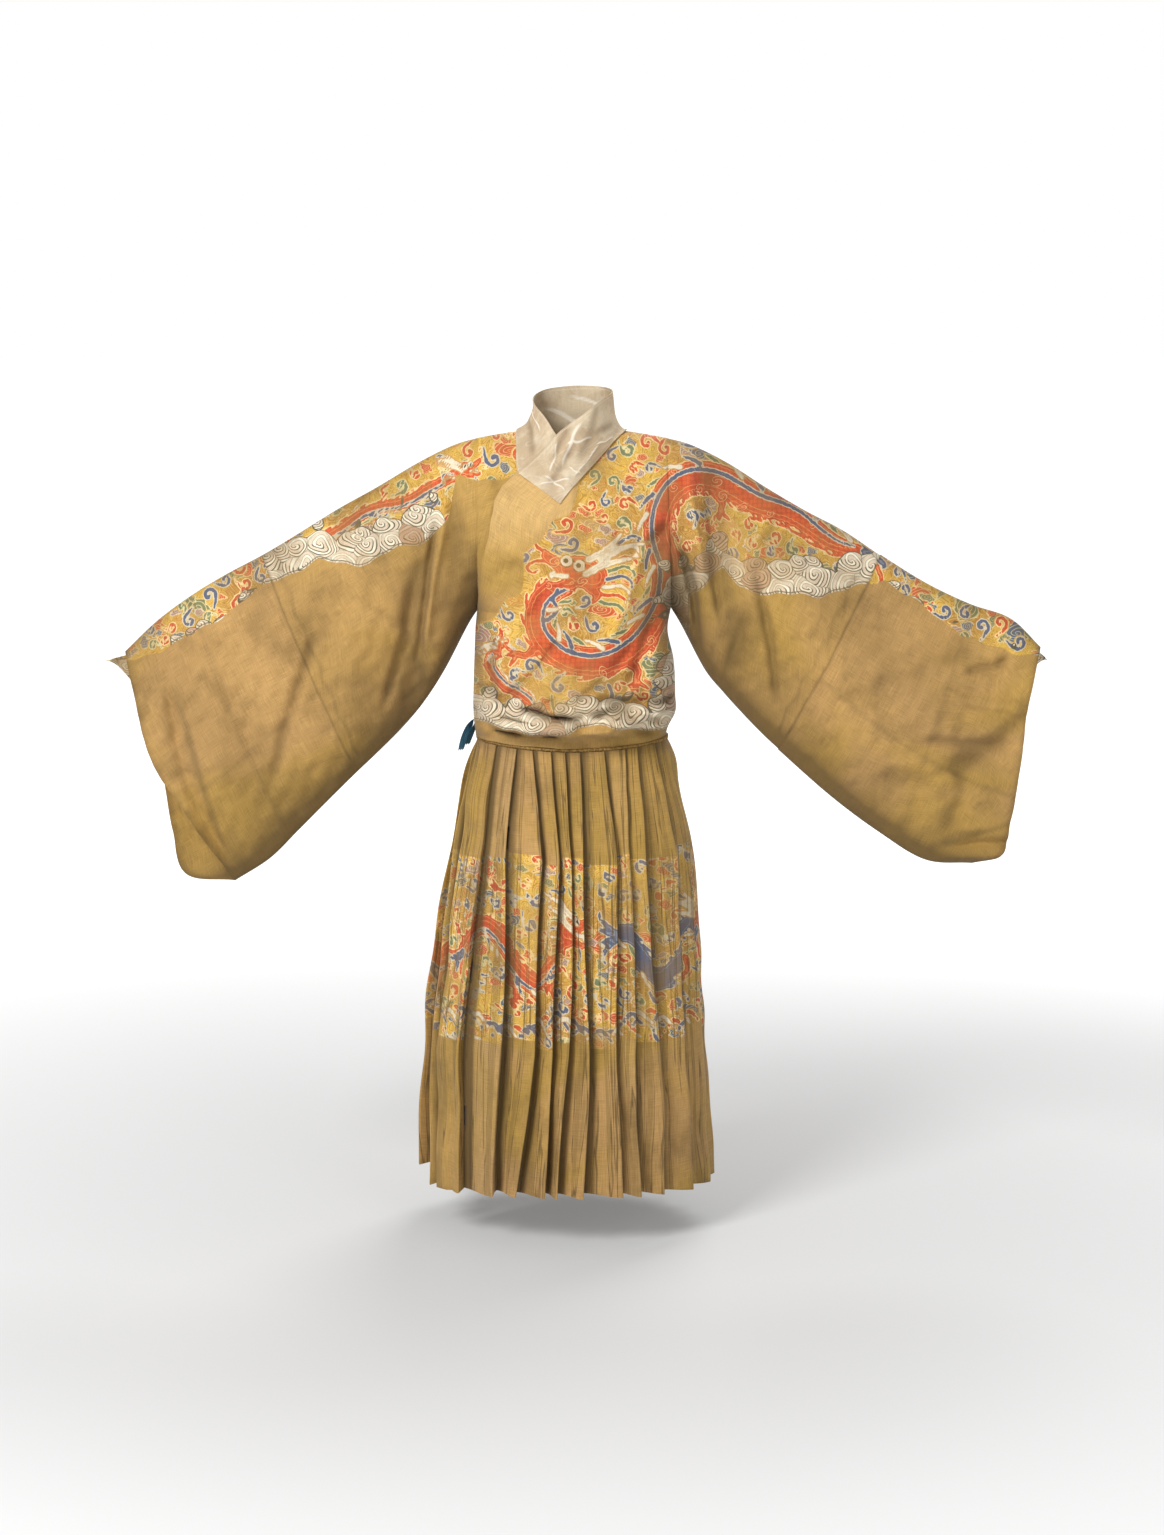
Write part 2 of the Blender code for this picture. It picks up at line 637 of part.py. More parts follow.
def pleated_panel(name, edge_angle, count, material, first, last):
    """Knife pleats: each face rises to its folded edge, which overhangs the start of the next.

    first is the rise and overhang of the panel's first edge, last the rise of its last one.
    """
    corners = [(k, *corner) for k in range(count) for corner in PLEAT_SECTION]
    corners[0] = (0, 0, *first)
    corners[-1] = (count - 1, 1, last, 0)
    grid = []
    for share in SKIRT_ROWS:
        row = []
        for index, part, rise, overhang in corners:
            top = skirt_top(edge_angle, index, part)
            z, angle = top, 0.0
            for _ in range(2):
                angle = edge_angle(index, z) * (1 - part) + edge_angle(index + 1, z) * part
                z = top + (hem_z(angle) - top) * share
            depth, over = read_table(SKIRT, z / MM)[3:5] * MM
            point = skirt_point(angle, z, rise * depth, overhang * over)
            point[2] -= HEM_JAG * share**4 * rise
            row.append(point)
        grid.append(row)
    mesh = bmesh.new()
    grid_faces(mesh, grid)
    bmesh.ops.recalc_face_normals(mesh, faces=mesh.faces)
    mesh.normal_update()
    face_outward(mesh, Vector((0, 0, HEM_Z * 0.7)))
    return sheet_object(name, mesh, SKIRT_CLOTH, material, PLEAT_SMOOTH_ANGLE)


def skirt_top(edge_angle, index, part):
    """Height of the pleats' sewn top at an edge, just under the waist join."""
    start = JOIN_SIDE_Z
    angle = edge_angle(index, start) * (1 - part) + edge_angle(index + 1, start) * part
    face = FRONT if math.cos(angle) > 0 else BACK
    return join_z(face, angle) - JOIN_RADIUS - 2 * SEAM_GAP


def side_tie(name, material):
    """A ribbon folded over at the side seam, with two short tails."""
    grid = []
    for side in (-1, 0, 1):
        row = []
        for x, y, z, half in SIDE_TIE:
            row.append(np.array((x, y + side * half, z)) * MM)
        grid.append(row)
    mesh = bmesh.new()
    grid_faces(mesh, grid)
    bmesh.ops.recalc_face_normals(mesh, faces=mesh.faces)
    return sheet_object(name, mesh, RIBBON_CLOTH, material)


def cuff_flap(name, side, material):
    """A corner of brocade that sticks out past the top of the sleeve's mouth."""
    tip_x, tip_z, reach = CUFF_FLAP[side]
    grid = []
    for along in np.linspace(0, 1, FLAP_ROWS):
        edge = sleeve_point(side, BACK, MOUTH_STATION, FLAP_START_SHARE + reach * along)
        edge[0] += side * SEAM_GAP * 2
        pull = 1 - abs(along - FLAP_PEAK) / (1 - FLAP_PEAK)
        out = (np.array((side * tip_x * MM, edge[1] + FLAP_BACK_SHIFT, tip_z * MM)) - edge) * pull
        if np.linalg.norm(out) < FLAP_LEAST_WIDTH:
            out = np.array((side * FLAP_LEAST_WIDTH, 0, 0))
        grid.append([edge + out * share for share in (0, 0.5, 1)])
    return cloth_object(name, [grid], CLOTH, material)


def build():
    clear_scene()
    ramie = cloth_material("ramie", (0.42, 0.26, 0.10))
    brocade = cloth_material("brocade", (0.55, 0.33, 0.10), 0.7)
    guard = cloth_material("guard_cloth", (0.47, 0.38, 0.28))
    blue = cloth_material("blue_ribbon", (0.012, 0.11, 0.19), 0.6)
    thread = cloth_material("seam_thread", (0.34, 0.22, 0.09))

    loom_width("left_width", LEFT, brocade)
    loom_width("right_width", RIGHT, brocade)
    overlap_panel("front_overlap", brocade)
    sleeve_extension("left_sleeve", LEFT, ramie)
    sleeve_extension("right_sleeve", RIGHT, ramie)
    cuff_flap("left_cuff_flap", LEFT, brocade)
    cuff_flap("right_cuff_flap", RIGHT, brocade)
    collar("collar", guard)
    waist_join("waist_join", thread)
    pleated_panel("skirt_front", lambda k, z: front_edge_angle(FRONT_PLEATS[k], z),
                  len(FRONT_PLEATS) - 1, ramie, (0.3, 0), 0.4)
    pleated_panel("skirt_back", back_edge_angle, BACK_PLEAT_COUNT, ramie, (-0.6, -1), -0.6)
    side_tie("side_tie", blue)


build()
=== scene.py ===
import math
import random

import bmesh
import bpy
import numpy as np
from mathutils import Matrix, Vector


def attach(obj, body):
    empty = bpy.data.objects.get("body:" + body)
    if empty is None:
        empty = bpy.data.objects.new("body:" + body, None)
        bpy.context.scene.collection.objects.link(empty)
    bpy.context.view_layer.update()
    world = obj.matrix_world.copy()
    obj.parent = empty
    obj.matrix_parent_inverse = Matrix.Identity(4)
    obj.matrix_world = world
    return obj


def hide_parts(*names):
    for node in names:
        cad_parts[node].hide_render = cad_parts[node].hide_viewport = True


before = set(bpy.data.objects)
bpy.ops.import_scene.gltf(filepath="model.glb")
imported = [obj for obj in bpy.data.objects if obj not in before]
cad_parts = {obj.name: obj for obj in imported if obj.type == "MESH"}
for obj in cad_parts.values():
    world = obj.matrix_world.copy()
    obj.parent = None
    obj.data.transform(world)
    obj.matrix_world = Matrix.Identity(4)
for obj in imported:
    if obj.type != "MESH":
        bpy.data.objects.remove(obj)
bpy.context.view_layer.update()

# The studio: a glowing pale floor just under the hem with a painted shadow round the robe, a white
# surround and large soft lights, seen by a camera a little above the waist, as a museum photographs a robe.
FLOOR_Z = -1.31
FLOOR_RADIUS = 60
# Reach in m and glow, from under the robe to far off: the floor glows, dim under the robe and bright far
# off, a painted shadow round the hem.
FLOOR_SHADOW_GLOW = (0.2, 4.6, 0.04, 1.0)
WHITE = (1, 1, 1, 1)
SURROUND_STRENGTH = 0.30
CAMERA_AIM = Vector((0.016, 0, -0.551))
CAMERA_DISTANCE = 5.0
CAMERA_ELEVATION = math.radians(9)
CAMERA_LENS = 71.7
# The node tree that new nodes go into.
work = {}


def tone(red, green, blue):
    """A colour given as it looks on a screen, 0 to 255, as shader values."""
    levels = [value / 255 for value in (red, green, blue)]
    return tuple([v / 12.92 if v < 0.04045 else ((v + 0.055) / 1.055) ** 2.4 for v in levels] + [1.0])


def feed(socket, value):
    """Links a value to a socket, or sets it there."""
    if isinstance(value, bpy.types.NodeSocket):
        work["tree"].links.new(value, socket)
    else:
        socket.default_value = value


def node(kind, inputs=None, **settings):
    """Adds a node with its settings and inputs."""
    made = work["tree"].nodes.new(kind)
    for key, value in settings.items():
        setattr(made, key, value)
    for key, value in (inputs or {}).items():
        feed(made.inputs[key], value)
    return made


def map_range(value, from_low, from_high, low=0.0, high=1.0, **settings):
    """A value moved from one range to another."""
    return node("ShaderNodeMapRange", {
        "Value": value, "From Min": from_low, "From Max": from_high, "To Min": low, "To Max": high,
    }, **settings).outputs[0]


def new_material(name, roughness):
    """A material, and the inputs of its shader."""
    material = bpy.data.materials.new(name)
    material.use_nodes = True
    work["tree"] = material.node_tree
    shader = material.node_tree.nodes["Principled BSDF"].inputs
    shader["Roughness"].default_value = roughness
    return material, shader


def link_object(name, data):
    item = bpy.data.objects.new(name, data)
    bpy.context.scene.collection.objects.link(item)
    return item


def new_piece(name, mesh, material):
    """Turns a finished bmesh into an object."""
    data = bpy.data.meshes.new(name)
    mesh.to_mesh(data)
    mesh.free()
    data.materials.append(material)
    return link_object(name, data)


def area_light(name, place, aim, size, power):
    lamp = bpy.data.lights.new(name, "AREA")
    lamp.shape = "DISK"
    lamp.size = size
    lamp.energy = power
    item = link_object(name, lamp)
    item.location = place
    item.rotation_euler = (Vector(aim) - Vector(place)).to_track_quat("-Z", "Y").to_euler()


camera = link_object("camera", bpy.data.cameras.new("camera"))
camera.data.lens = CAMERA_LENS
camera.location = CAMERA_AIM + CAMERA_DISTANCE * Vector(
    (0, -math.cos(CAMERA_ELEVATION), math.sin(CAMERA_ELEVATION))
)
camera.rotation_euler = (math.pi / 2 - CAMERA_ELEVATION, 0, 0)
bpy.context.scene.camera = camera

floor_mesh = bmesh.new()
bmesh.ops.create_circle(floor_mesh, cap_ends=True, radius=FLOOR_RADIUS, segments=64)
bmesh.ops.translate(floor_mesh, verts=floor_mesh.verts, vec=(0, 0, FLOOR_Z))
floor_material, floor_shader = new_material("pale floor", 0.9)
floor_shader["Base Color"].default_value = (0.5, 0.5, 0.5, 1)
floor_reach = node("ShaderNodeVectorMath", {0: node("ShaderNodeTexCoord").outputs["Object"]},
                   operation="LENGTH").outputs["Value"]
# The floor's own glow stands in for light: dim under the robe and bright far off, a painted shadow round
# the hem.
feed(floor_shader["Emission Color"], map_range(floor_reach, *FLOOR_SHADOW_GLOW, interpolation_type="SMOOTHSTEP"))
floor_shader["Emission Strength"].default_value = 1.0
new_piece("floor", floor_mesh, floor_material)

world = bpy.data.worlds.new("studio")
bpy.context.scene.world = world
world.use_nodes = True
work["tree"] = world.node_tree
soft_surround = world.node_tree.nodes["Background"]
soft_surround.inputs["Color"].default_value = WHITE
soft_surround.inputs["Strength"].default_value = SURROUND_STRENGTH
white_surround = node("ShaderNodeBackground", {"Color": WHITE, "Strength": 1.0})
surround = node("ShaderNodeMixShader", {
    0: node("ShaderNodeLightPath").outputs["Is Camera Ray"],
    1: soft_surround.outputs[0], 2: white_surround.outputs[0]})
feed(world.node_tree.nodes["World Output"].inputs["Surface"], surround.outputs[0])
area_light("key light", (-2.7, -3.7, 2.8), (0.1, 0, -0.5), 2.2, 255)
area_light("fill light", (2.6, -4.2, 1.4), (0, 0, -0.6), 2.4, 34)
area_light("back light", (1.4, 3.4, 3.4), (0, 0, -0.5), 3.0, 150)
bpy.context.scene.view_settings.view_transform = "Standard"


# The two loom widths: ramie woven with a gold cloud-collar and sleeve bands. Each runs from the
# waist up the front, over the shoulder without a seam and down the back, and out to the seam in
# the sleeve. The sides and underarms are sewn.
LEFT, RIGHT = 1, -1
FRONT, BACK = -1, 1
MM = 0.001
CLOTH = 1.2 * MM
SEAM_GAP = 0.3 * MM
SEWN_GAP = 0.04 * MM
STEP = 3.6 * MM
RIDGE_AT_CENTRE = 3 * MM
RIDGE_AT_ARMHOLE = -14 * MM
ARMHOLE_TOP_X = 150.5 * MM
ARMPIT_Z = -288 * MM
CENTRE_FRONT_SEAM_X = 15 * MM
NECK_HOLE_X = 80 * MM
JOIN_RADIUS = 2.3 * MM
JOIN_SIDE_Z = -498 * MM
JOIN_FRONT_DIP = 9 * MM
JOIN_BACK_DIP = 4 * MM
SEAM_STATION = 6
MOUTH_STATION = 10
SHARP_FOLD_GAIN = 1.8
SOFT_FOLD_GAIN = 1.15
BLOUSE_GATHER = 12.5 * MM
CLOTH_WAVE = 3.2 * MM
CLOTH_RIPPLE = 1.2 * MM
# Depth of a fold's hollow at which its painted shade is full.
SHADED_HOLLOW_DEPTH = 9 * MM
STATION_GAP = 0.0006


def smooth_curve(table, samples=600):
    """A table's columns over its first one, as a smooth curve through every row."""
    rows = np.array(sorted(table), dtype=float)
    keys, values = rows[:, 0], rows[:, 1:]
    slopes = np.gradient(values, keys, axis=0)
    at = np.linspace(keys[0], keys[-1], samples)
    i = np.clip(np.searchsorted(keys, at, side="right") - 1, 0, len(keys) - 2)
    span = (keys[i + 1] - keys[i])[:, None]
    t = (at - keys[i])[:, None] / span
    curve = (
        (2 * t**3 - 3 * t**2 + 1) * values[i]
        + (t**3 - 2 * t**2 + t) * span * slopes[i]
        + (3 * t**2 - 2 * t**3) * values[i + 1]
        + (t**3 - t**2) * span * slopes[i + 1]
    )
    return at, curve


def read_curve(curve, key):
    """Every column of a smooth curve at the keys."""
    at, values = curve
    return [np.interp(key, at, values[:, column]) for column in range(values.shape[1])]


# Columns: height, half width on the wearer's right, on the left, front depth, back depth, in mm.
BODICE = smooth_curve((
    (-288, 151, 160, 113, 104), (-320, 154, 155, 116, 106), (-372, 156, 165, 120, 108),
    (-430, 158, 168, 127, 112), (-458, 158, 168, 128, 112), (-474, 156, 160, 118, 109),
    (-486, 154, 155, 108, 105), (-515, 154, 154, 104, 104),
))
# Columns: station, top x, top z, underarm x, underarm z, half depth, forward shift, in mm.
SLEEVES = {
    LEFT: smooth_curve((
        (0, 150.5, -14, 160, -288, 75, 0), (1, 193, -26, 178, -318, 70, 1),
        (2, 250, -54, 215, -388, 66, 3), (3, 310, -92, 245, -425, 62, 5),
        (4, 373, -129, 275, -458, 58, 8), (5, 438, -163, 304, -488, 54, 11),
        (6, 497, -202, 336, -518, 51, 14), (7, 570, -247, 422, -594, 49, 18),
        (8, 642, -281, 500, -652, 46, 22), (9, 707, -304, 577, -698, 43, 26),
        (10, 756, -350, 652, -703, 40, 30),
    )),
    RIGHT: smooth_curve((
        (0, 150.5, -14, 151, -288, 75, 0), (1, 191, -26, 170, -318, 70, 1),
        (2, 248, -54, 206, -387, 66, 3), (3, 314, -93, 240, -440, 62, 5),
        (4, 379, -129, 276, -483, 58, 8), (5, 444, -169, 317, -524, 54, 11),
        (6, 500, -202, 351, -556, 51, 14), (7, 559, -233, 400, -604, 49, 18),
        (8, 614, -266, 448, -652, 46, 22), (9, 670, -307, 494, -697, 43, 26),
        (10, 722, -356, 551, -733, 40, 30),
    )),
}
# How the mouth edge bows out of its chord. Columns: share down the mouth, outward, upward, in mm.
MOUTH_BOW = {
    (LEFT, FRONT): smooth_curve((
        (0, 0, 0), (0.25, 6, 0), (0.5, 20, -5), (0.75, 32, -14), (0.92, 32, -16), (1, 0, 0))),
    (LEFT, BACK): smooth_curve((
        (0, 0, 0), (0.25, 4, 0), (0.5, 12, -5), (0.75, 22, -14), (0.92, 22, -16), (1, 0, 0))),
    (RIGHT, FRONT): smooth_curve((
        (0, 0, 0), (0.2, 18, 5), (0.5, 34, -4), (0.65, 25, 2), (0.85, 9, 0), (1, 0, 0))),
    (RIGHT, BACK): smooth_curve((
        (0, 0, 0), (0.2, 18, 5), (0.5, 36, -12), (0.7, 54, -34), (0.88, 56, -42), (1, 0, 0))),
}
# Folds. Columns: start x and z, end x and z, half width, rise, in mm.
FOLDS = {
    FRONT: (
        (-229, -190, -276, -470, 24, -10), (-190, -66, -186, -215, 15, -7),
        (-330, -240, -372, -520, 30, 6), (-590, -380, -520, -640, 30, 6),
        (230, -60, 262, -420, 22, -9), (140, -150, 152, -275, 14, -6),
        (512, -560, 655, -532, 18, -6), (545, -375, 660, -362, 18, -5),
        (400, -250, 440, -560, 34, 6), (-120, -440, 10, -470, 12, 5),
        (40, -462, 140, -440, 12, 5),
        (-206, -140, -234, -330, 7, 6), (-216, -150, -250, -360, 6, -6), (-252, -250, -300, -440, 8, -6),
        (-420, -330, -480, -560, 9, -4), (-640, -420, -560, -690, 8, -6), (-655, -560, -560, -700, 7, 6),
        (175, -180, 208, -340, 7, -7), (192, -80, 206, -230, 8, 6), (215, -120, 238, -300, 6, -5),
        (300, -230, 330, -430, 8, -5),
        (735, -440, 622, -545, 15, -9), (622, -545, 606, -640, 14, -6), (600, -690, 724, -648, 10, 7),
        (604, -668, 716, -630, 7, -6), (636, -392, 704, -366, 9, -6), (600, -420, 720, -450, 9, 5),
        (560, -500, 700, -500, 9, -4),
        (118, -176, 62, -330, 9, 6), (138, -230, 96, -400, 8, -6), (146, -300, 120, -430, 7, 6),
        (-60, -250, -120, -390, 11, 5), (-20, -330, -100, -420, 8, -5), (100, -330, 40, -400, 9, -5),
        (60, -380, -40, -440, 8, 6), (-130, -330, -120, -430, 7, -5),
        (-150, -412, -60, -446, 8, -7), (-60, -446, 20, -452, 7, -7), (30, -448, 128, -424, 8, -8),
        (-156, -440, -100, -470, 7, 8), (-110, -462, -20, -478, 7, 9), (-10, -474, 70, -474, 7, 9),
        (66, -468, 156, -446, 8, 10), (120, -446, 160, -426, 6, -6), (96, -190, 150, -150, 8, -5),
        (80, -420, 150, -380, 9, 5),
        (-146, -360, -60, -330, 10, 4), (40, -150, 130, -250, 11, 4), (-100, -180, -30, -230, 12, 4),
    ),
    BACK: (
        (-220, -120, -262, -440, 26, -9), (220, -120, 255, -400, 26, -9),
        (-110, -230, -60, -470, 20, 6), (100, -250, 70, -470, 20, 6),
        (520, -330, 590, -600, 30, 6), (-500, -330, -440, -600, 30, 6),
        (-180, -120, -200, -300, 8, 6), (185, -120, 205, -300, 8, 6),
        (-205, -150, -228, -330, 7, -6), (212, -150, 236, -330, 7, -6),
        (-300, -180, -350, -460, 10, -5), (330, -200, 390, -480, 10, -5),
        (-560, -400, -520, -650, 9, -5), (600, -400, 640, -640, 9, -5),
        (-130, -230, -90, -400, 10, 5), (130, -230, 100, -400, 10, -5), (-30, -300, 20, -430, 10, 4),
        (-150, -440, -30, -470, 8, 8), (-50, -478, 60, -470, 7, 8), (40, -470, 150, -440, 8, 9),
        (-150, -415, -20, -440, 8, -6), (10, -440, 140, -412, 8, -7),
    ),
}


def ease(t):
    t = np.clip(t, 0, 1)
    return t * t * (3 - 2 * t)


def bell(x):
    return np.exp(-x**2)


def ripple(x, z, seed, length, height):
    """Smooth irregular waves of about one length, in metres."""
    draw = random.Random(seed)
    total = np.zeros(np.shape(x))
    for _ in range(5):
        turn = draw.uniform(0, math.pi)
        wave = 2 * math.pi / (length * draw.uniform(0.7, 1.6))
        phase = draw.uniform(0, 6)
        bend = 0.9 * np.sin((x * math.sin(turn) - z * math.cos(turn)) * wave * 0.43 + phase)
        total += np.sin((x * math.cos(turn) + z * math.sin(turn)) * wave + phase * 2 + bend)
    return total * height / 2.6


def surface_rise(face, x, z):
    """Outward rise of folds, the blouse's tucks and the slight waviness of old cloth."""
    total = ripple(x, z, 3 if face == FRONT else 4, 100 * MM, CLOTH_WAVE)
    total += ripple(x, z, 9 if face == FRONT else 8, 38 * MM, CLOTH_RIPPLE)
    for x0, z0, x1, z1, half_width, rise in FOLDS[face]:
        along = np.array((x1 - x0, z1 - z0)) * MM
        length = np.linalg.norm(along)
        away_x, away_z = x - x0 * MM, z - z0 * MM
        share = (away_x * along[0] + away_z * along[1]) / length**2
        across = (away_x * along[1] - away_z * along[0]) / length / (half_width * MM)
        bend = 0.35 * np.sin(share * 5 + x0)
        ends = ease((share + 0.15) / 0.3) * ease((1.15 - share) / 0.3)
        deeper = SHARP_FOLD_GAIN if half_width < 13 else SOFT_FOLD_GAIN
        total += deeper * rise * MM * ends * bell(across + bend)
    gather = ease((-405 * MM - z) / (40 * MM)) * ease((z + 494 * MM) / (16 * MM)) * (np.abs(x) < 0.19)
    total += gather * ripple(x * 0.55, z * 1.25, 21 if face == FRONT else 22, 40 * MM, BLOUSE_GATHER)
    return total


def lens(w):
    return np.sin(math.pi * np.clip(w, 0, 1)) ** 0.7


def ridge_z(angle):
    return RIDGE_AT_CENTRE + (RIDGE_AT_ARMHOLE - RIDGE_AT_CENTRE) * np.abs(np.sin(angle)) ** 1.8


def half_width(side, z):
    return read_curve(BODICE, z / MM)[1 if side == LEFT else 0] * MM


def bodice(side, face, angle, z):
    """Places on the bodice, by the angle from its centre line and the height."""
    s, a = np.sin(angle), np.cos(angle)
    ridge = ridge_z(angle)
    w = np.clip((ridge - z) / (ridge - ARMPIT_Z), 0, 1)
    full = read_curve(BODICE, z / MM)[2 if face == FRONT else 3] * MM
    reach = half_width(side, z)
    above = z > ARMPIT_Z
    shoulder = a * full * np.sqrt(1 - (1 - w) ** 2) + (1 - a) * 75 * MM * lens(w)
    depth = np.where(above, shoulder, a * full)
    x = side * s * np.where(above, ARMHOLE_TOP_X + (reach - ARMHOLE_TOP_X) * w, reach)
    rise = surface_rise(face, x, z) * np.clip(depth / (25 * MM), 0, 1)
    return np.stack((x, face * (depth + rise), z + 0 * x), axis=-1)


def bodice_lifted(side, face, angle, z, lift):
    """The same places moved out along the surface's own normal."""
    step = 0.004
    by_angle = bodice(side, face, angle + step, z) - bodice(side, face, angle - step, z)
    by_height = bodice(side, face, angle, z + step) - bodice(side, face, angle, z - step)
    normal = np.cross(by_angle, by_height)
    normal /= np.linalg.norm(normal, axis=-1, keepdims=True) + 1e-12
    normal *= np.sign(normal[..., 1:2] * face + 1e-9)
    return bodice(side, face, angle, z) + normal * np.asarray(lift)[..., None]


def join_z(face, angle):
    dip = JOIN_FRONT_DIP if face == FRONT else JOIN_BACK_DIP
    return JOIN_SIDE_Z - dip * np.cos(angle) ** 2


def sleeve(side, face, station, w):
    """Places on a sleeve, by the station along it and the share down from its top fold."""
    top_x, top_z, low_x, low_z, depth, shift = [c * MM for c in read_curve(SLEEVES[side], station)]
    near_mouth = np.clip((station - SEAM_STATION) / (MOUTH_STATION - SEAM_STATION), 0, 1) ** 3
    bow_x, bow_z = [c * MM * near_mouth for c in read_curve(MOUTH_BOW[(side, face)], w)]
    x = top_x + (low_x - top_x) * w
    z = top_z + (low_z - top_z) * w
    depth = depth * lens(w)
    rise = surface_rise(face, side * x, z) * np.clip(depth / (25 * MM), 0, 1)
    return np.stack((side * (x + bow_x), face * (depth + rise) - shift, z + bow_z), axis=-1)


# The woven design is drawn as signed distances in mm, negative inside a shape, kept on the cloth's
# points. Each thread colour is one attribute; the material turns them into crisp figures.
THREADS = ("red", "blue", "green", "cream", "ink")
FAR = 14.0
GOLD_RANGE = (-60, 30)
FOAM_RANGE = (-90, 30)
SCROLL_SIZES = (6.5, 10.5)
SCROLL_TRIES = 2600
# Lowest edge of the gold ground on each sleeve. Columns: distance from the centre, height, in mm.
GOLD_EDGE = {
    LEFT: ((80, -262), (142, -275), (190, -263), (242, -222), (268, -248), (320, -262), (397, -262),
           (466, -250), (502, -238), (580, -296), (658, -345), (770, -366)),
    RIGHT: ((80, -74), (185, -76), (196, -138), (228, -172), (281, -188), (324, -212), (407, -210),
            (479, -240), (614, -331), (770, -396)),
}


def smooth_path(points, per_step=5):
    """A brush stroke's points with more between them, on one smooth curve."""
    points = np.array(points, dtype=float)
    keyed = np.concatenate((np.arange(len(points))[:, None], points), axis=1)
    return smooth_curve([tuple(row) for row in keyed], (len(points) - 1) * per_step + 1)[1]


def own_grid(x, z, heading, size, mirrored=False):
    """Turns a figure's own u, v and half width into x, z and half width on the cloth."""
    c, s = math.cos(math.radians(heading)), math.sin(math.radians(heading))

    def at(u, v, r):
        v = -v if mirrored else v
        return x + (u * c - v * s) * size, z + (u * s + v * c) * size, r * size

    return at


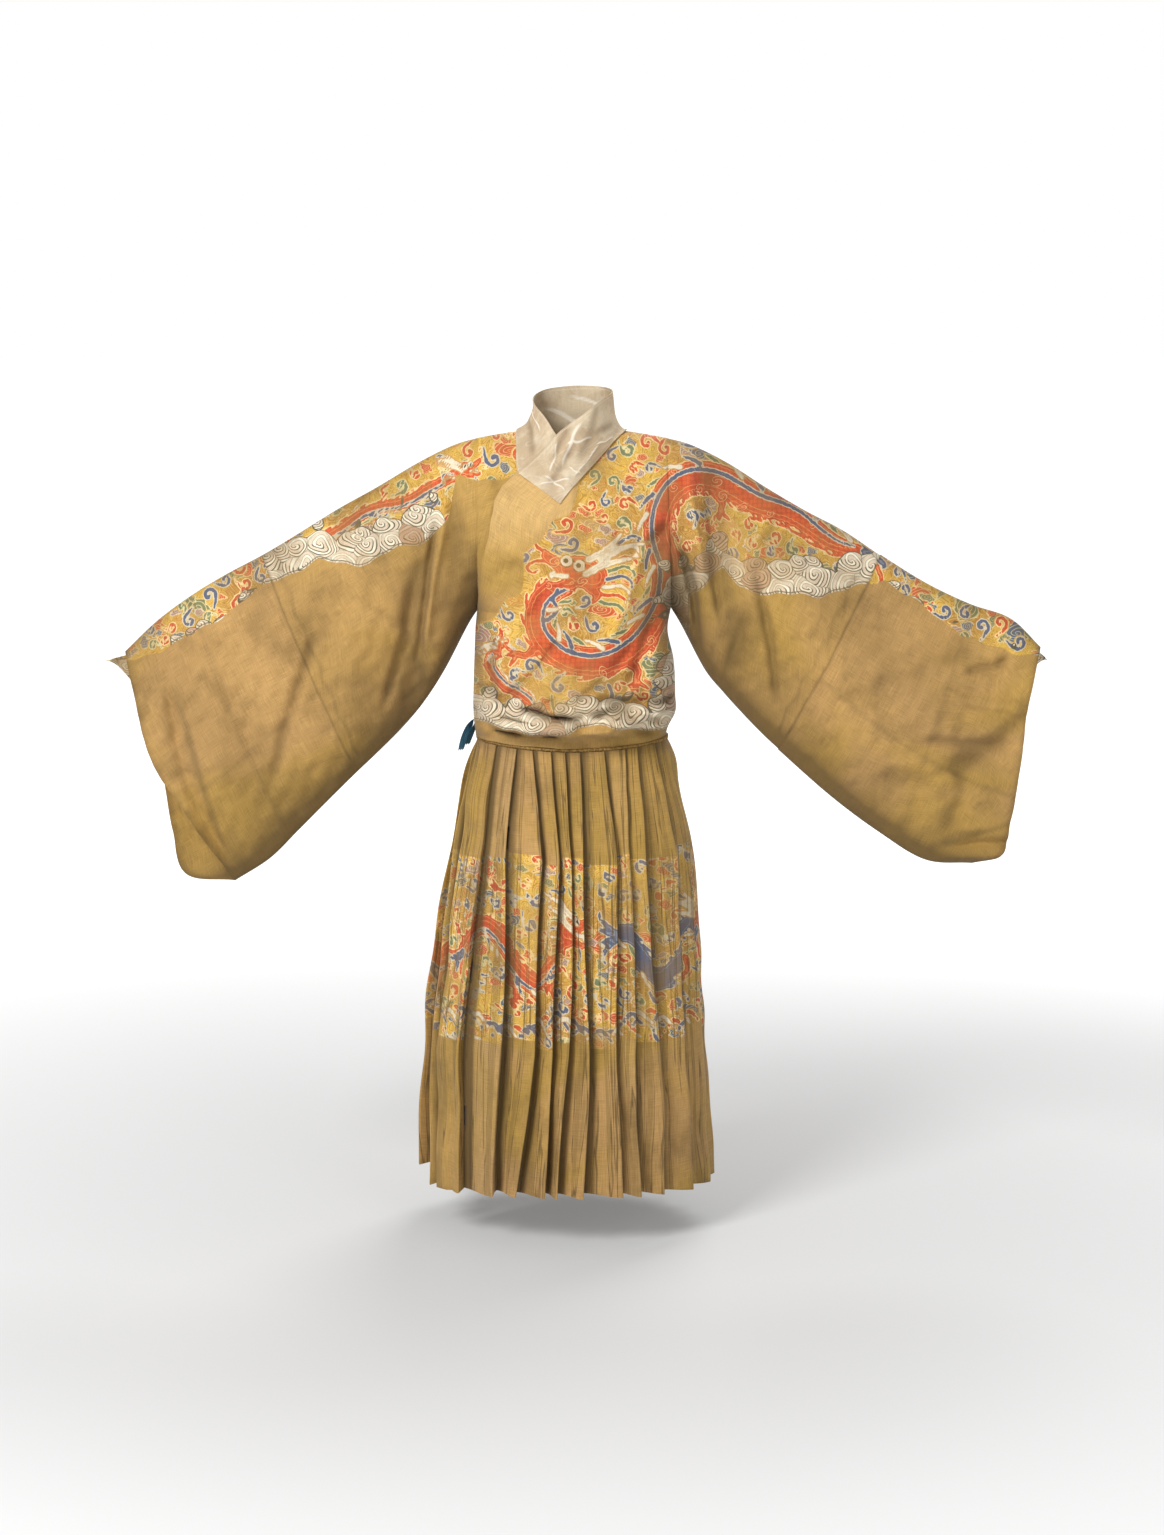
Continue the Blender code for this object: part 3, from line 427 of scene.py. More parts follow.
class Design:
    """Signed distances of each thread colour over one grid of cloth."""

    def __init__(self, x, z):
        self.x = np.asarray(x, dtype=float)
        self.z = np.asarray(z, dtype=float)
        self.threads = {name: np.full(self.x.shape, FAR) for name in THREADS}

    def stroke(self, colour, points):
        """A stroke through points of x, z and half width."""
        path = smooth_path(points) if len(points) > 2 else np.array(points, dtype=float)
        reach = path[:, 2].max() + FAR
        near = (
            (self.x > path[:, 0].min() - reach) & (self.x < path[:, 0].max() + reach)
            & (self.z > path[:, 1].min() - reach) & (self.z < path[:, 1].max() + reach)
        )
        if not near.any():
            return
        x, z = self.x[near], self.z[near]
        best = np.full(x.shape, FAR)
        for (x0, z0, r0), (x1, z1, r1) in zip(path, path[1:]):
            dx, dz = x1 - x0, z1 - z0
            t = np.clip(((x - x0) * dx + (z - z0) * dz) / (dx * dx + dz * dz + 1e-9), 0, 1)
            best = np.minimum(best, np.hypot(x - x0 - t * dx, z - z0 - t * dz) - (r0 + (r1 - r0) * t))
        self.threads[colour][near] = np.minimum(self.threads[colour][near], best)

    def strokes(self, at, colour, *paths):
        """Strokes given on a figure's own grid."""
        for path in paths:
            self.stroke(colour, [at(*point) for point in path])

    def clear(self, points):
        """Keeps every colour off the ground round a stroke, for what is drawn over it."""
        saved = self.threads["ink"].copy()
        self.threads["ink"][:] = FAR
        self.stroke("ink", points)
        room = self.threads["ink"]
        for name in ("red", "blue", "green", "cream"):
            self.threads[name] = np.maximum(self.threads[name], -room + 1.5)
        self.threads["ink"] = saved

    def flying_fish(self, body, heading, size=1.0, colour="red"):
        """A dragon-headed fish: a long scaled body with a spine, fins, a split tail and a horned head.

        body is a list of x, z and half width from the tail to the neck.
        """
        self.clear([(x, z, r + 4) for x, z, r in body])
        path = smooth_path(body, 6)
        self.stroke(colour, body)
        normals = np.gradient(path[:, :2], axis=0)[:, ::-1] * (1, -1)
        normals /= np.linalg.norm(normals, axis=1, keepdims=True) + 1e-9
        spine = [(p[0] + n[0] * p[2] * 0.42, p[1] + n[1] * p[2] * 0.42, max(1.8, p[2] * 0.13))
                 for p, n in zip(path, normals)]
        self.stroke("blue" if colour == "red" else "red", spine[2:-2:3])
        for i in range(3, len(path) - 5, 3):
            back = path[max(i - 3, 0)]
            for lean, fin in ((1, 9), (-1, 6)):
                root = back[:2] + normals[i] * lean * path[i, 2] * 0.85
                tip = path[i, :2] + normals[i] * lean * (path[i, 2] + fin * size)
                middle = (root + tip) / 2 + normals[i] * lean * 2 * size
                self.stroke(("green", "blue", "cream")[i // 3 % 3] if lean > 0 else colour,
                            ((*root, 3.2 * size), (*middle, 2.6 * size), (*tip, 1.3)))
        away = path[0, :2] - path[4, :2]
        away /= np.linalg.norm(away) + 1e-9
        side = np.array((-away[1], away[0]))
        for lean in (-1.0, -0.35, 0.35, 1.0):
            root, reach = path[0, :2], 40 * size
            self.stroke(colour if abs(lean) > 0.5 else "blue", (
                (*root, 5 * size), (*(root + away * reach * 0.5 + side * lean * reach * 0.3), 4.4 * size),
                (*(root + away * reach * 0.9 + side * lean * reach * 0.8), 3.2 * size),
                (*(root + away * reach * 0.8 + side * lean * reach * 1.15), 1.4)))
        self.head(path[-1, 0], path[-1, 1], heading, size, colour)

    def head(self, x, z, heading, size, colour):
        """The horned head: a streaming mane, brow, snout, jaw with teeth, round eyes and whiskers."""
        at = own_grid(x, z, heading, size, mirrored=abs(heading) > 90)
        for turn, v in enumerate((-34, -24, -14, -4, 6, 16, 26, 36)):
            self.strokes(at, ("green", "red", "cream", "blue")[turn % 4], (
                (-4, v * 0.7, 3.0), (-30, v * 1.2 + 4, 2.6), (-54, v * 1.5 + 14, 2.2),
                (-70, v * 1.7 + 6, 1.8), (-64, v * 1.8 - 6, 1.4)))
        self.clear((at(0, 0, 27), at(40, 0, 22)))
        self.strokes(
            at, colour,
            ((-10, 0, 21), (10, 4, 24), (30, 6, 19)), ((-6, -16, 9), (-20, -26, 7), (-16, -38, 3)),
            ((26, 8, 15), (48, 11, 10), (64, 18, 8), (70, 25, 4)),
            ((20, -14, 11), (40, -22, 7), (54, -22, 5), (60, -15, 2.4)))
        self.strokes(
            at, "cream",
            ((30, -5, 3), (42, -7, 3), (54, -6, 2.4)), ((50, -4, 2.6), (53, -11, 2.0), (52, -15, 1.2)))
        for u, v in ((14, 13), (34, 17)):
            self.strokes(at, "ink", ((u, v, 10), (u + 0.5, v, 10)))
            self.strokes(at, "cream", ((u, v, 8.2), (u + 0.5, v, 8.2)))
            white_of_eye = self.room((at(u, v, 8.6), at(u + 0.5, v, 8.6)))
            self.threads["ink"] = np.maximum(self.threads["ink"], white_of_eye)
            self.strokes(at, "ink", ((u + 1, v, 3.8), (u + 1.5, v, 3.8)))
        self.strokes(at, "green", ((6, 28, 3.4), (20, 31, 3), (34, 30, 2)))
        for v, reach in ((24, 1.0), (2, 0.86)):
            self.strokes(
                at, "cream",
                ((2, v, 4.6), (-22 * reach, v + 16, 5.0), (-46 * reach, v + 26, 3.6),
                (-84 * reach, v + 40, 1.4)),
                ((-20 * reach, v + 18, 4.4), (-34 * reach, v + 36, 3), (-40 * reach, v + 46, 1.2)))
        for v, lift in ((22, 1), (12, -0.6)):
            self.strokes(at, "red", (
                (64, v, 2.6), (82, v + 8 * lift, 2.3), (92, v + 26 * lift, 2.2),
                (82, v + 36 * lift, 2.0), (74, v + 28 * lift, 1.6)))
        self.strokes(at, "blue", ((40, -28, 2.4), (44, -44, 2.2), (34, -58, 2.0), (42, -66, 1.4)))

    def scroll(self, colour, x, z, size, turn):
        """A curl of ribbon with a tail."""
        curl = [(x + size * (1.25 - 0.135 * step) * math.cos(turn + 0.75 * step),
                 z + size * (1.25 - 0.135 * step) * math.sin(turn + 0.75 * step), size * 0.25)
                for step in range(9)]
        tail = (x + size * 2.3 * math.cos(turn - 0.7), z + size * 2.3 * math.sin(turn - 0.7), size * 0.08)
        self.stroke(colour, [tail, *curl])

    def room(self, points):
        """Positive inside a stroke and negative outside it, to cut it out of another."""
        saved = self.threads["ink"]
        self.threads["ink"] = np.full(self.x.shape, FAR)
        self.stroke("ink", points)
        made, self.threads["ink"] = -self.threads["ink"], saved
        return made

    def claw(self, x, z, turn, size):
        """A leg with a spread foot."""
        at = own_grid(x, z, turn, size)
        self.strokes(at, "red", ((0, 0, 9), (18, 8, 7), (34, 0, 6)),
                     *(((32, 0, 4.4), (44, v, 3.6), (52, v * 1.6, 2)) for v in (-13, -2, 10)))


def gold_ground(face, side, x, z, torso):
    """Distances in mm to the edge of the gold ground and to the edge that carries foam."""
    reach = np.abs(x)
    edge = np.array(GOLD_EDGE[side], dtype=float)
    lowest = np.interp(reach, edge[:, 0], edge[:, 1])
    wave = 3.5 * np.sin(x / 17) + 2 * np.sin(x / 7.3 + 1)
    on_sleeve = (lowest + wave - z) * 0.85
    if torso == "plain":
        return on_sleeve, -90 + (on_sleeve + 90) * ease((reach - 180) / 40)
    on_chest = -474 + wave * 0.6 + 10 * np.sin(x / 31) - z
    if torso == "overlap":
        diagonal = (-x - 18) * 0.80 + (z + 128) * 0.52 + 9 * np.sin(z / 23) + 5 * np.sin(x / 9 + z / 31)
        return np.maximum(on_chest, diagonal), on_chest
    if face == BACK:
        lobe = (np.hypot((x - 4) / 172, (z + 210) / 262) - 1) * 180
        edge = np.minimum(on_sleeve, np.maximum(lobe, on_chest))
        return edge, edge
    edge = np.minimum(on_sleeve, np.maximum(on_chest, reach - 190))
    return edge, edge


def scrolls_between(draw_figures, x_range, z_range, seed):
    """Scroll ribbons for the free ground between figures: colour, x, z, size and turn of each."""
    x, z = np.meshgrid(np.arange(*x_range, 5.0), np.arange(*z_range, 5.0))
    rough = Design(x, z)
    draw_figures(rough)
    free = np.min([rough.threads[name] for name in THREADS], axis=0)
    draw = random.Random(seed)
    placed = []
    for _ in range(SCROLL_TRIES):
        row, column = draw.randrange(x.shape[0]), draw.randrange(x.shape[1])
        size = draw.uniform(*SCROLL_SIZES)
        here = (float(x[row, column]), float(z[row, column]))
        if free[row, column] < size + 1:
            continue
        if all(math.dist(here, other[1:3]) > 1.5 * (size + other[3]) for other in placed):
            colour = draw.choice(("red", "blue", "red", "green", "blue"))
            placed.append((colour, *here, size, draw.uniform(0, 6.3)))
    return placed


def draw_bodice(design, face):
    """The robe's own design: one great flying fish over the chest and left shoulder, one on the
    back, and running small ones on the sleeves."""
    if face == FRONT:
        design.flying_fish((
            (470, -196, 8), (416, -178, 14), (356, -134, 19), (296, -112, 22), (238, -80, 23),
            (186, -74, 23), (148, -104, 23), (136, -158, 23), (150, -216, 23), (142, -278, 23),
            (104, -334, 24), (46, -362, 24), (-14, -352, 23), (-52, -312, 21), (-48, -266, 20),
            (-14, -240, 19), (24, -226, 19)), 170, 1.05)
        design.claw(92, -366, -72, 0.95)
        design.claw(-58, -340, -160, 0.95)
        design.claw(160, -262, -34, 0.7)
        design.claw(232, -104, -80, 0.8)
        design.flying_fish((
            (-50, -446, 5), (-74, -418, 9), (-108, -402, 10), (-132, -372, 10), (-120, -344, 8)),
            60, 0.40)
        design.flying_fish((
            (-478, -214, 4), (-430, -184, 8), (-380, -166, 9), (-326, -130, 9), (-268, -116, 9),
            (-222, -90, 9), (-176, -66, 9)), 16, 0.48)
        for lean in (-2, -1, 0, 1, 2):
            design.stroke("blue", ((58 + lean * 3, -436, 3.4), (58 + lean * 9, -452, 3),
                (58 + lean * 15, -470, 2)))
        design.stroke("blue", ((58, -400, 2.4), (64, -416, 3), (58, -438, 3.6)))
    else:
        design.flying_fish((
            (-446, -186, 8), (-392, -160, 14), (-332, -130, 19), (-270, -98, 22), (-208, -80, 23),
            (-152, -98, 23), (-116, -146, 23), (-122, -208, 23), (-104, -274, 24), (-52, -326, 24),
            (16, -336, 23), (62, -300, 22), (62, -250, 20), (24, -216, 19)), 150, 1.05)
        design.claw(-66, -336, -110, 0.95)
        design.claw(70, -312, -50, 0.95)
        design.flying_fish((
            (468, -204, 4), (416, -186, 8), (360, -152, 9), (306, -138, 9), (250, -106, 9)),
            165, 0.46)
        design.flying_fish((
            (96, -436, 5), (112, -402, 9), (140, -372, 10), (124, -336, 9)), 130, 0.4)


SCROLLS = {face: scrolls_between(lambda design: draw_bodice(design, face), (-770, 771), (-480, 1), 7)
           for face in (FRONT, BACK)}


def edge_shares(count):
    """Shares from 0 to 1, closer together at both ends, where the cloth turns."""
    t = np.linspace(0, 1, count + 1)
    return 0.65 * t + 0.35 * (0.5 - 0.5 * np.cos(math.pi * t))


def cloth_grid(mesh, points, values):
    """Adds a grid to a bmesh, from Blender's own grid, with its places and its attributes."""
    rows, columns = points.shape[:2]
    layers = {name: mesh.verts.layers.float.get(name) or mesh.verts.layers.float.new(name)
              for name in values}
    made = bmesh.ops.create_grid(mesh, x_segments=columns - 1, y_segments=rows - 1, size=0.5)
    for vert in made["verts"]:
        column = round((vert.co.x + 0.5) * (columns - 1))
        row = round((vert.co.y + 0.5) * (rows - 1))
        vert.co = points[row, column]
        for name, layer in layers.items():
            vert[layer] = values[name][row, column]


def cloth_lengths(points):
    """Distances along the cloth's two ways from a corner of the grid."""
    across = np.linalg.norm(np.diff(points, axis=1), axis=2)
    down = np.linalg.norm(np.diff(points, axis=0), axis=2)
    weft = np.concatenate((np.zeros((points.shape[0], 1)), np.cumsum(across, axis=1)), axis=1)
    warp = np.concatenate((np.zeros((1, points.shape[1])), np.cumsum(down, axis=0)), axis=0)
    return warp, weft


def finish_cloth(name, mesh, material, thickness, centre=None):
    """Closes the seams of a sheet, gives it its wall inward and makes it a piece of the robe."""
    bmesh.ops.remove_doubles(mesh, verts=mesh.verts, dist=SEWN_GAP)
    bmesh.ops.recalc_face_normals(mesh, faces=mesh.faces)
    if centre is not None:
        outward = sum(f.normal.dot(f.calc_center_median() - Vector(centre)) for f in mesh.faces)
        if outward < 0:
            bmesh.ops.reverse_faces(mesh, faces=mesh.faces)
    for edge in mesh.edges:
        edge.smooth = not edge.is_boundary
    item = new_piece(name + "_cloth", mesh, material)
    item.data.shade_smooth()
    wall = item.modifiers.new("wall", "SOLIDIFY")
    wall.thickness = thickness
    wall.offset = -1
    wall.use_even_offset = False
    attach(item, "root")
    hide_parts(name)
    return item


def number(operation, first, second=0.0, third=0.0, clamp=False):
    """One step of arithmetic."""
    return node("ShaderNodeMath", {0: first, 1: second, 2: third}, operation=operation,
                use_clamp=clamp).outputs[0]


def times(first, second):
    return number("MULTIPLY", first, second)


def below(value, edge, soft=0.5):
    """1 where a value lies under an edge, 0 over it, with a soft step between."""
    return map_range(value, edge + soft, edge - soft, interpolation_type="SMOOTHSTEP")


def line_at(value, edge, half, soft):
    """1 on a line where a value passes an edge."""
    return below(number("ABSOLUTE", number("SUBTRACT", value, edge)), half, soft)


def mix(share, under, over, kind="MIX"):
    return node("ShaderNodeMix", {0: share, 6: under, 7: over}, data_type="RGBA",
        blend_type=kind).outputs[2]


def coats(colour, *laid):
    """A colour with others laid over it in turn, each given as its share and itself."""
    for share, over in laid:
        colour = mix(share, colour, over)
    return colour


def pair(x, y):
    return node("ShaderNodeCombineXYZ", {0: x, 1: y}).outputs[0]


def noise(place, scale, detail, roughness=0.5, distortion=0.0, flat=False, output="Fac"):
    """Cloudy patches, through the solid or flat on the cloth."""
    return node("ShaderNodeTexNoise", {
        "Vector": place, "Scale": scale, "Detail": detail, "Roughness": roughness, "Distortion": distortion,
    }, noise_dimensions="2D" if flat else "3D").outputs[output]


def voronoi(place, scale, randomness, feature="F1"):
    return node("ShaderNodeTexVoronoi", {"Vector": place, "Scale": scale, "Randomness": randomness},
                voronoi_dimensions="2D", feature=feature).outputs


def vector_step(operation, *parts):
    return node("ShaderNodeVectorMath", dict(enumerate(parts)), operation=operation).outputs[0]


def attribute(name):
    return node("ShaderNodeAttribute", attribute_name=name).outputs["Fac"]


def new_group(name, inputs, outputs):
    """A shared node group, and the sockets that bring its inputs in and take its outputs out."""
    group = bpy.data.node_groups.new(name, "ShaderNodeTree")
    for label, kind, value in inputs:
        group.interface.new_socket(label, in_out="INPUT", socket_type=kind).default_value = value
    for label, kind in outputs:
        group.interface.new_socket(label, in_out="OUTPUT", socket_type=kind)
    work["tree"] = group
    return group, node("NodeGroupInput").outputs, node("NodeGroupOutput").inputs


def use_group(group, inputs):
    return node("ShaderNodeGroup", inputs, node_tree=group).outputs


def dress(shader, colour, height, strength, depth):
    """Gives a shader its colour and its bump."""
    feed(shader["Base Color"], colour)
    bump = node("ShaderNodeBump", {"Strength": strength, "Distance": depth, "Height": height})
    feed(shader["Normal"], bump.outputs["Normal"])


FLOAT, COLOUR = "NodeSocketFloat", "NodeSocketColor"
THREAD_PITCH = 0.0011
# Woven threads: uneven slubs both ways, from the two distances along the cloth.
weave_group, weave_in, weave_out = new_group(
    "woven threads", (("Warp", FLOAT, 0.0), ("Weft", FLOAT, 0.0)), (("Slubs", FLOAT), ("Height", FLOAT)))
slub_parts = [noise(pair(times(weave_in["Weft"], along), times(weave_in["Warp"], across)), 1.0, 3.0, 0.6)
              for along, across in ((38.0, 900.0), (820.0, 30.0))]
slubs = times(number("ADD", *slub_parts), 0.5)
thread_waves = [number("SINE", times(weave_in[way], 2 * math.pi / THREAD_PITCH)) for way in ("Weft",
    "Warp")]
feed(weave_out["Slubs"], slubs)
feed(weave_out["Height"], number("ADD", times(number("ADD", *thread_waves), 0.12), slubs))

# Age: olive and pink-brown blotches, worn slubs and darker patches of grime.
age_group, age_in, age_out = new_group(
    "old ramie", (("Slubs", FLOAT, 0.5), ("Olive", FLOAT, 0.5), ("Pink", FLOAT, 0.5), ("Tone", FLOAT, 0.0)),
    (("Colour", COLOUR), ("Grime", FLOAT)))
age_place = node("ShaderNodeTexCoord").outputs["Object"]
olive_patch = number("SUBTRACT", noise(age_place, 4.5, 5.0, 0.62, 0.5), times(age_in["Tone"], 0.14))
pink_patch = node("ShaderNodeSeparateColor", {
    0: noise(age_place, 3.0, 4.0, 0.5, 0.9, output="Color")}).outputs["Green"]
grime = noise(age_place, 13.0, 6.0, 0.65)
pale_share = times(number("SUBTRACT", times(age_in["Tone"], -1.0), 0.5, clamp=True), 0.55)
ramie_colour = coats(
    tone(186, 147, 72),
    (times(below(olive_patch, 0.5, 0.13), age_in["Olive"]), tone(152, 120, 42)),
    (times(below(pink_patch, 0.48, 0.1), age_in["Pink"]), tone(184, 143, 90)),
    (times(below(grime, 0.43, 0.12), 0.4), tone(112, 86, 38)),
    (pale_share, tone(214, 176, 118)))
slub_shade = map_range(age_in["Slubs"], 0.32, 0.68, 0.68, 1.26)
feed(age_out["Colour"], mix(1.0, ramie_colour, slub_shade, "MULTIPLY"))
feed(age_out["Grime"], grime)


def scroll_cells(place, scale, stretch, bend):
    """Cells with a whorl each: distance from the middle in mm, angle, distance from the rim in mm
    and three random shares."""
    shift = vector_step("SUBTRACT", noise(place, scale * 0.8, 1.0, flat=True, output="Color"),
        (0.5, 0.5, 0.5))
    drawn = vector_step("MULTIPLY", vector_step("MULTIPLY_ADD", shift, (bend, bend, 0), place),
        (stretch, 1, 1))
    cells = voronoi(drawn, scale, 0.95)
    rims = voronoi(drawn, scale, 0.95, "DISTANCE_TO_EDGE")
    away = node("ShaderNodeSeparateXYZ", {0: vector_step("SUBTRACT", drawn, cells["Position"])}).outputs
    chance = node("ShaderNodeSeparateColor", {0: cells["Color"]}).outputs
    return (times(cells["Distance"], 1000.0 / scale), number("ARCTAN2", away["Y"], away["X"]),
            times(rims["Distance"], 1000.0 / scale), chance["Red"], chance["Green"], chance["Blue"])


def whorl(reach, angle, arms, tightness):
    """Spiral lines round a cell's middle, from -1 to 1."""
    return number("SINE", number("MULTIPLY_ADD", angle, arms, times(reach, tightness)))


# The brocade: a gold ground with flowing lines, scroll clouds in several colours, foam along its
# edge, and the figures over them.
brocade_group, brocade_in, brocade_out = new_group(
    "cloud brocade",
    (("Ramie", COLOUR, tone(168, 136, 76)), ("Gold edge", FLOAT, 5.0), ("Foam edge", FLOAT, 5.0),
     ("Weft", FLOAT, 0.0), ("Warp", FLOAT, 0.0), ("Grime", FLOAT, 0.5), ("Foam depth", FLOAT, 34.0),
     ("Cloud share", FLOAT, 0.5), *((name.capitalize(), FLOAT, FAR) for name in THREADS)),
    (("Colour", COLOUR), ("Raised", FLOAT)))
flat_place = pair(brocade_in["Weft"], brocade_in["Warp"])
wobble = number("MULTIPLY_ADD", noise(flat_place, 150.0, 1.0, flat=True), 5.0, -2.5)
patches = noise(flat_place, 9.0, 1.0, flat=True)
flow_bands = number("SINE", times(noise(flat_place, 24.0, 1.0, distortion=2.2, flat=True), 62.0))
gold = coats(
    tone(222, 176, 66),
    (below(patches, 0.5, 0.12), tone(194, 144, 58)),
    (times(below(flow_bands, -0.72, 0.2), 0.55), tone(150, 98, 46)),
    (times(line_at(flow_bands, 0.82, 0.1, 0.1), 0.75), tone(230, 202, 136)))
colour = mix(below(brocade_in["Gold edge"], 0.0, 1.2), brocade_in["Ramie"], gold)

# Scroll clouds, larger and smaller, kept off the figures. Columns of the colours: first random
# share, fill and edge.
CLOUD_COLOURS = (
    (0.0, tone(204, 88, 46), tone(236, 196, 132)), (0.40, tone(96, 106, 120), tone(220, 204, 160)),
    (0.66, tone(168, 132, 118), tone(226, 206, 172)), (0.82, tone(122, 124, 84), tone(222, 200, 140)),
)
near_figure = brocade_in["Red"]
for label in ("Blue", "Green", "Cream", "Ink"):
    near_figure = number("MINIMUM", near_figure, brocade_in[label])
clear_of_figure = times(below(times(near_figure, -1.0), -3.0, 0.6),
    below(brocade_in["Gold edge"], -3.0, 1.0))
cloud_rims = []
for scale, stretch, bend, size_low, size_range, tightness, bare_reach in (
    (24.0, 0.58, 0.018, 6.5, 8.0, 0.72, 12.0), (44.0, 0.7, 0.012, 3.2, 4.2, 1.2, 6.0),
):
    reach, angle, _, chance_size, chance_shown, chance_colour = scroll_cells(flat_place, scale, stretch,
        bend)
    turned = times(chance_size, 9.0)
    bulge, lobes = [number("SINE", number("MULTIPLY_ADD", angle, waves, turned)) for waves in (2.0, 5.0)]
    uneven_edge = number("MULTIPLY_ADD", bulge, 0.20, times(lobes, 0.11))
    lobed = number("MULTIPLY_ADD", uneven_edge, reach, reach)
    size = number("MULTIPLY_ADD", chance_size, size_range, size_low)
    distance = number("ADD", number("SUBTRACT", lobed, size), wobble)
    shown = times(clear_of_figure, below(
        number("SUBTRACT", chance_shown, brocade_in["Cloud share"]), 0.0, 0.01))
    lines = whorl(reach, angle, 1.0, tightness)
    fill, edge_colour = CLOUD_COLOURS[0][1:]
    for first_share, next_fill, next_edge in CLOUD_COLOURS[1:]:
        over = below(times(chance_colour, -1.0), -first_share, 0.001)
        fill = mix(over, fill, next_fill)
        edge_colour = mix(over, edge_colour, next_edge)
    bare = times(number("SUBTRACT", clear_of_figure, shown, clamp=True),
                 times(below(reach, bare_reach, 1.0), line_at(lines, 0.0, 0.22, 0.16)))
    cloud_rims.append(times(shown, below(distance, 1.6, 0.5)))
    colour = coats(
        colour,
        (times(bare, 0.85), mix(below(chance_colour, 0.55, 0.01), tone(232, 206, 146), tone(196, 96, 50))),
        (cloud_rims[-1], edge_colour),
        (times(shown, below(distance, 0.0, 0.4)),
         mix(times(line_at(lines, 0.0, 0.30, 0.2), 0.85), fill, edge_colour)))
raised = number("MAXIMUM", *cloud_rims)

# The figures: scales, whorls and a pale contour on the bodies, each colour outlined. Columns: fill,
# outline and inner line.
FIGURE_COLOURS = (
    ("Green", tone(116, 126, 88), tone(222, 204, 150), tone(84, 96, 72)),
    ("Red", tone(216, 90, 42), tone(240, 208, 144), tone(238, 156, 94)),
    ("Blue", tone(88, 96, 118), tone(214, 200, 168), tone(150, 158, 172)),
    ("Cream", tone(230, 216, 186), tone(196, 150, 92), tone(206, 182, 142)),
)
scale_rim = below(times(voronoi(flat_place, 130.0, 0.35)["Distance"], -1.0), -0.42, 0.08)
curl_reach, curl_angle, curl_rim, curl_chance, _, curl_hue = scroll_cells(flat_place, 31.0, 0.85, 0.020)
curl_lines = whorl(curl_reach, curl_angle, 1.0, 0.66)
curl_share = times(below(curl_chance, 0.5, 0.01),
                   times(below(curl_reach, 8.5, 1.0), line_at(curl_lines, 0.0, 0.24, 0.16)))
for label, fill, outline, inner in FIGURE_COLOURS:
    distance = number("ADD", brocade_in[label], times(wobble, 0.55))
    body = fill
    if label == "Red":
        body = coats(
            fill,
            (below(patches, 0.47, 0.1), tone(202, 80, 42)), (times(scale_rim, 0.5), tone(172, 62, 30)),
            (times(line_at(distance, -9.5, 0.6, 0.4), 0.6), tone(232, 170, 96)),
            (times(curl_share, 0.9), outline))
    colour = coats(
        colour,
        (below(distance, 1.5, 0.5), outline), (below(distance, 0.0, 0.4), body),
        (times(line_at(distance, -3.2, 0.5, 0.4), 0.7), inner))
    raised = number("MAXIMUM", raised, below(distance, 0.5, 1.0))

# Foam: pale curling crests with dark lines, their tops lobed like breaking waves, and wear over all.
under_crest = number("MULTIPLY_ADD", below(curl_angle, 0.35, 0.4), 0.45, 0.5)
foam = coats(
    tone(248, 236, 208),
    (below(curl_hue, 0.24, 0.03), tone(208, 174, 144)),
    (times(line_at(curl_lines, 0.1, 0.52, 0.15), under_crest), tone(84, 78, 58)),
    (times(line_at(curl_lines, -0.85, 0.1, 0.1), 0.7), tone(176, 112, 80)),
    (times(below(curl_rim, 0.6, 0.5), 0.5), tone(92, 84, 60)),
    (times(line_at(brocade_in["Foam edge"], -2.6, 1.0, 0.5), 0.8), tone(104, 92, 66)))
foam_crest = number("MULTIPLY_ADD", curl_reach, 1.3, times(brocade_in["Foam edge"], -1.0))
foam_over = number("SUBTRACT", foam_crest, brocade_in["Foam depth"])
on_ground = below(brocade_in["Gold edge"], 0.0, 1.0)
foam_share = times(on_ground, below(foam_over, 0.0, 0.6))
colour = coats(
    colour,
    (below(brocade_in["Ink"], 0.0, 0.5), tone(44, 34, 30)),
    (times(on_ground, below(foam_over, 2.4, 0.6)), tone(88, 82, 62)),
    (foam_share, foam),
    (times(below(brocade_in["Grime"], 0.45, 0.12), 0.45), tone(150, 116, 58)),
    (times(below(noise(flat_place, 6.0, 3.0, flat=True), 0.42, 0.1), 0.4), tone(172, 136, 72)))
feed(brocade_out["Colour"], colour)
feed(brocade_out["Raised"], number("MAXIMUM", raised, foam_share))


